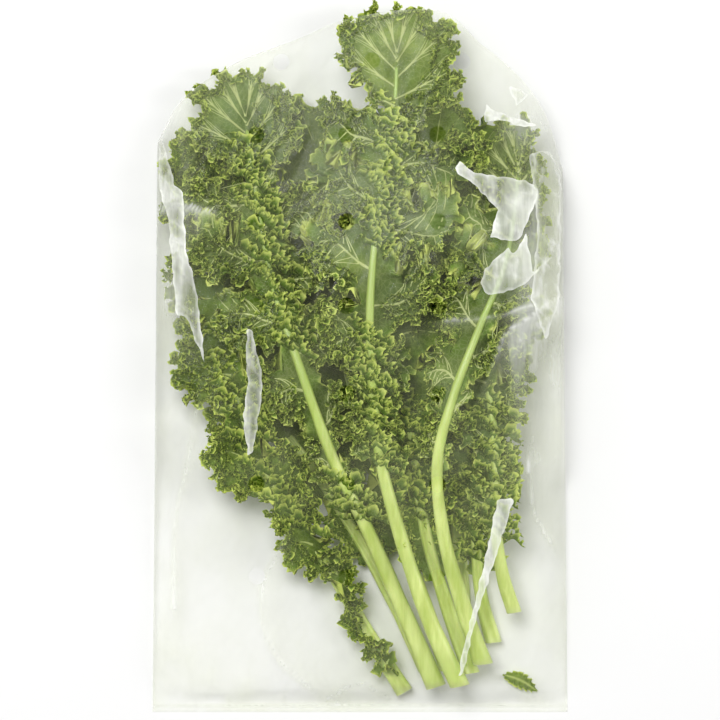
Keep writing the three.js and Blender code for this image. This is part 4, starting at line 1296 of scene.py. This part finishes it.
def punched(x, y, faces):
    """The sheet without what lies in its vents, and with its points drawn to the vents' edges."""
    for vx, vy in vents():
        middle_x = x[faces].mean(1)
        middle_y = y[faces].mean(1)
        gone = np.hypot(middle_x - vx, middle_y - vy) < VENT_RADIUS
        if not gone.any():
            continue
        edge = np.intersect1d(faces[gone], faces[~gone])
        faces = faces[~gone]
        away = np.hypot(x[edge] - vx, y[edge] - vy)
        x[edge] = vx + (x[edge] - vx) * VENT_RADIUS / away
        y[edge] = vy + (y[edge] - vy) * VENT_RADIUS / away
    return faces


def fold_sheet(outline):
    """Points in plan and triangles of a doubled fold, from its outline."""
    loop = []
    for a, b in zip(outline, outline[1:] + outline[:1]):
        count = max(1, round(math.dist(a, b) / 1.4))
        for k in range(count):
            s = k / count
            loop.append((a[0] + (b[0] - a[0]) * s, a[1] + (b[1] - a[1]) * s))
    loop = np.array(loop)
    loop = loop * 0.6 + (np.roll(loop, 1, 0) + np.roll(loop, -1, 0)) * 0.2
    loop += 0.5 * np.column_stack([wobble(np.arange(len(loop)), 9, 3), wobble(np.arange(len(loop)), 7, 4)])
    low, high = loop.min(0), loop.max(0)
    grid = [(x, y) for x in np.arange(low[0], high[0], 1.6) for y in np.arange(low[1], high[1], 1.6)]
    clear = [g for g in grid if np.linalg.norm(loop - g, axis=1).min() > 0.9]
    points = [Vector(p) for p in [*loop, *clear]]
    edges = [(k, (k + 1) % len(loop)) for k in range(len(loop))]
    made = delaunay_2d_cdt(points, edges, [], 1, 1e-4)
    p = np.array([tuple(v) for v in made[0]])
    return p, np.array(made[2]), loop


def make_film():
    """The bag in one piece: its front sheet, whose rim comes down to the flat back sheet, and its folds."""
    points, haze_and_glare, front_share, faces, flat = [], [], [], [], []
    count = 0

    def add(x, y, z, milk, triangles, place, front=1.0):
        nonlocal count
        points.append(np.column_stack([x, y, z]))
        haze_and_glare.append(milk)
        front_share.append(np.full(len(x), front))
        faces.append(triangles + count)
        flat.append(place)
        count += len(x)

    scale = 0.98 / (MOUTH[5][1] - BAG_BOTTOM)
    for front in (True, False):
        x, y = sheet_plan(FILM_STEP if front else 4.0)
        index = np.arange(x.size).reshape(x.shape)
        x, y = x.ravel(), y.ravel()
        triangles = punched(x, y, grid_faces(index))
        if front:
            z, milk = film_at(x, y)
            add(x, y, z, milk, triangles, np.column_stack([0.3 + x * scale, 0.01 + (y - BAG_BOTTOM) * scale]))
        else:
            z = 0.12 + 0.35 * ridges(x, y, 50, 14, 1.3, 21) * smoothstep(half_bag(y) - np.abs(x), 0, 8)
            place = np.column_stack([0.74 + x * scale * 0.45, 0.01 + (y - BAG_BOTTOM) * scale])
            add(x, y, z, np.zeros(len(x)), triangles[:, ::-1], place, 0.15)
    lower = 0.01
    for milky, outline in FOLDS_AND_GLARE:
        p, triangles, loop = fold_sheet(outline)
        z, milk = film_at(p[:, 0], p[:, 1])
        away = np.array([np.linalg.norm(loop - q, axis=1).min() for q in p])
        # Painted glare: the folds' milk, with brighter edges and crease lines, is partly their own and partly
        # glare of the lights.
        patches = 0.3 + 0.4 * noise(p[:, 0], p[:, 1], 7, 6) + 0.7 * noise(p[:, 0], p[:, 1], 19, 7)
        lines = ridges(p[:, 0], p[:, 1], 50, 7, 1.4, 31) + 0.7 * ridges(p[:, 0], p[:, 1], 26, 6, 2.3, 33)
        milk = milky * patches + 0.3 * np.exp(-away / 0.8) * noise(p[:, 0], p[:, 1], 11, 9)
        milk = milk + 0.22 * lines + 0.16 * np.exp(-((away / 1.1) ** 2))
        z = z + 0.35 + smoothstep(away, 0, 5) * (1.3 * noise(p[:, 0], p[:, 1], 9, 7) + 1.6 * lines)
        place = (p - p.min(0)) * 0.0019
        add(p[:, 0], p[:, 1], z, milk, triangles, place + (0.885, lower))
        lower += place[:, 1].max() + 0.01
    piece = mesh_of("produce_bag", np.vstack(points), np.vstack(faces), FILM,
                    {"haze_and_glare": np.concatenate(haze_and_glare), "front": np.concatenate(front_share)}, np.vstack(flat))
    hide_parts("bag")


make_film()

# ---- floor, light and camera ----


def make_floor():
    mesh = bpy.data.meshes.new("floor")
    half = 6.0
    mesh.from_pydata([(-half, -half, 0), (half, -half, 0), (half, half, 0), (-half, half, 0)], [],
                     [(0, 1, 2, 3)])
    mesh.materials.append(floor_material())
    floor = placed("floor", mesh)
    floor.location.z = -0.0002


def area_light(name, place, size, power, colour=(1, 1, 1)):
    """A soft box that faces the middle of the bunch."""
    data = bpy.data.lights.new(name, "AREA")
    data.shape = "RECTANGLE"
    data.size, data.size_y = size
    data.energy = power
    data.color = colour
    light = placed(name, data)
    light.location = place
    light.rotation_euler = (Vector((0, 0, 0.03)) - Vector(place)).to_track_quat("-Z", "Y").to_euler()
    light.visible_camera = False


PIXEL = 0.6  # millimetres of the object to one pixel of the picture
CAMERA_HEIGHT = 2400.0
FOCUS_HEIGHT = 30.0  # the height at which a pixel is that size


def make_camera():
    data = bpy.data.cameras.new("camera")
    data.sensor_width = 36
    data.lens = 36 * (CAMERA_HEIGHT - FOCUS_HEIGHT) / (720 * PIXEL)
    camera = placed("camera", data)
    camera.location = (0, 0, CAMERA_HEIGHT * MM)
    bpy.context.scene.camera = camera


make_floor()
area_light("key", (-0.42, 0.66, 1.96), (1.0, 1.0), 38)
area_light("right_strip", (1.35, 0.1, 0.95), (0.3, 1.5), 12)
area_light("left_strip", (-1.4, -0.2, 0.8), (0.25, 1.4), 6)
world = bpy.data.worlds.new("studio")
world.use_nodes = True
world.node_tree.nodes["Background"].inputs[0].default_value = (1, 1, 1, 1)
world.node_tree.nodes["Background"].inputs[1].default_value = 0.27
bpy.context.scene.world = world
bpy.context.scene.view_settings.view_transform = "Standard"
make_camera()
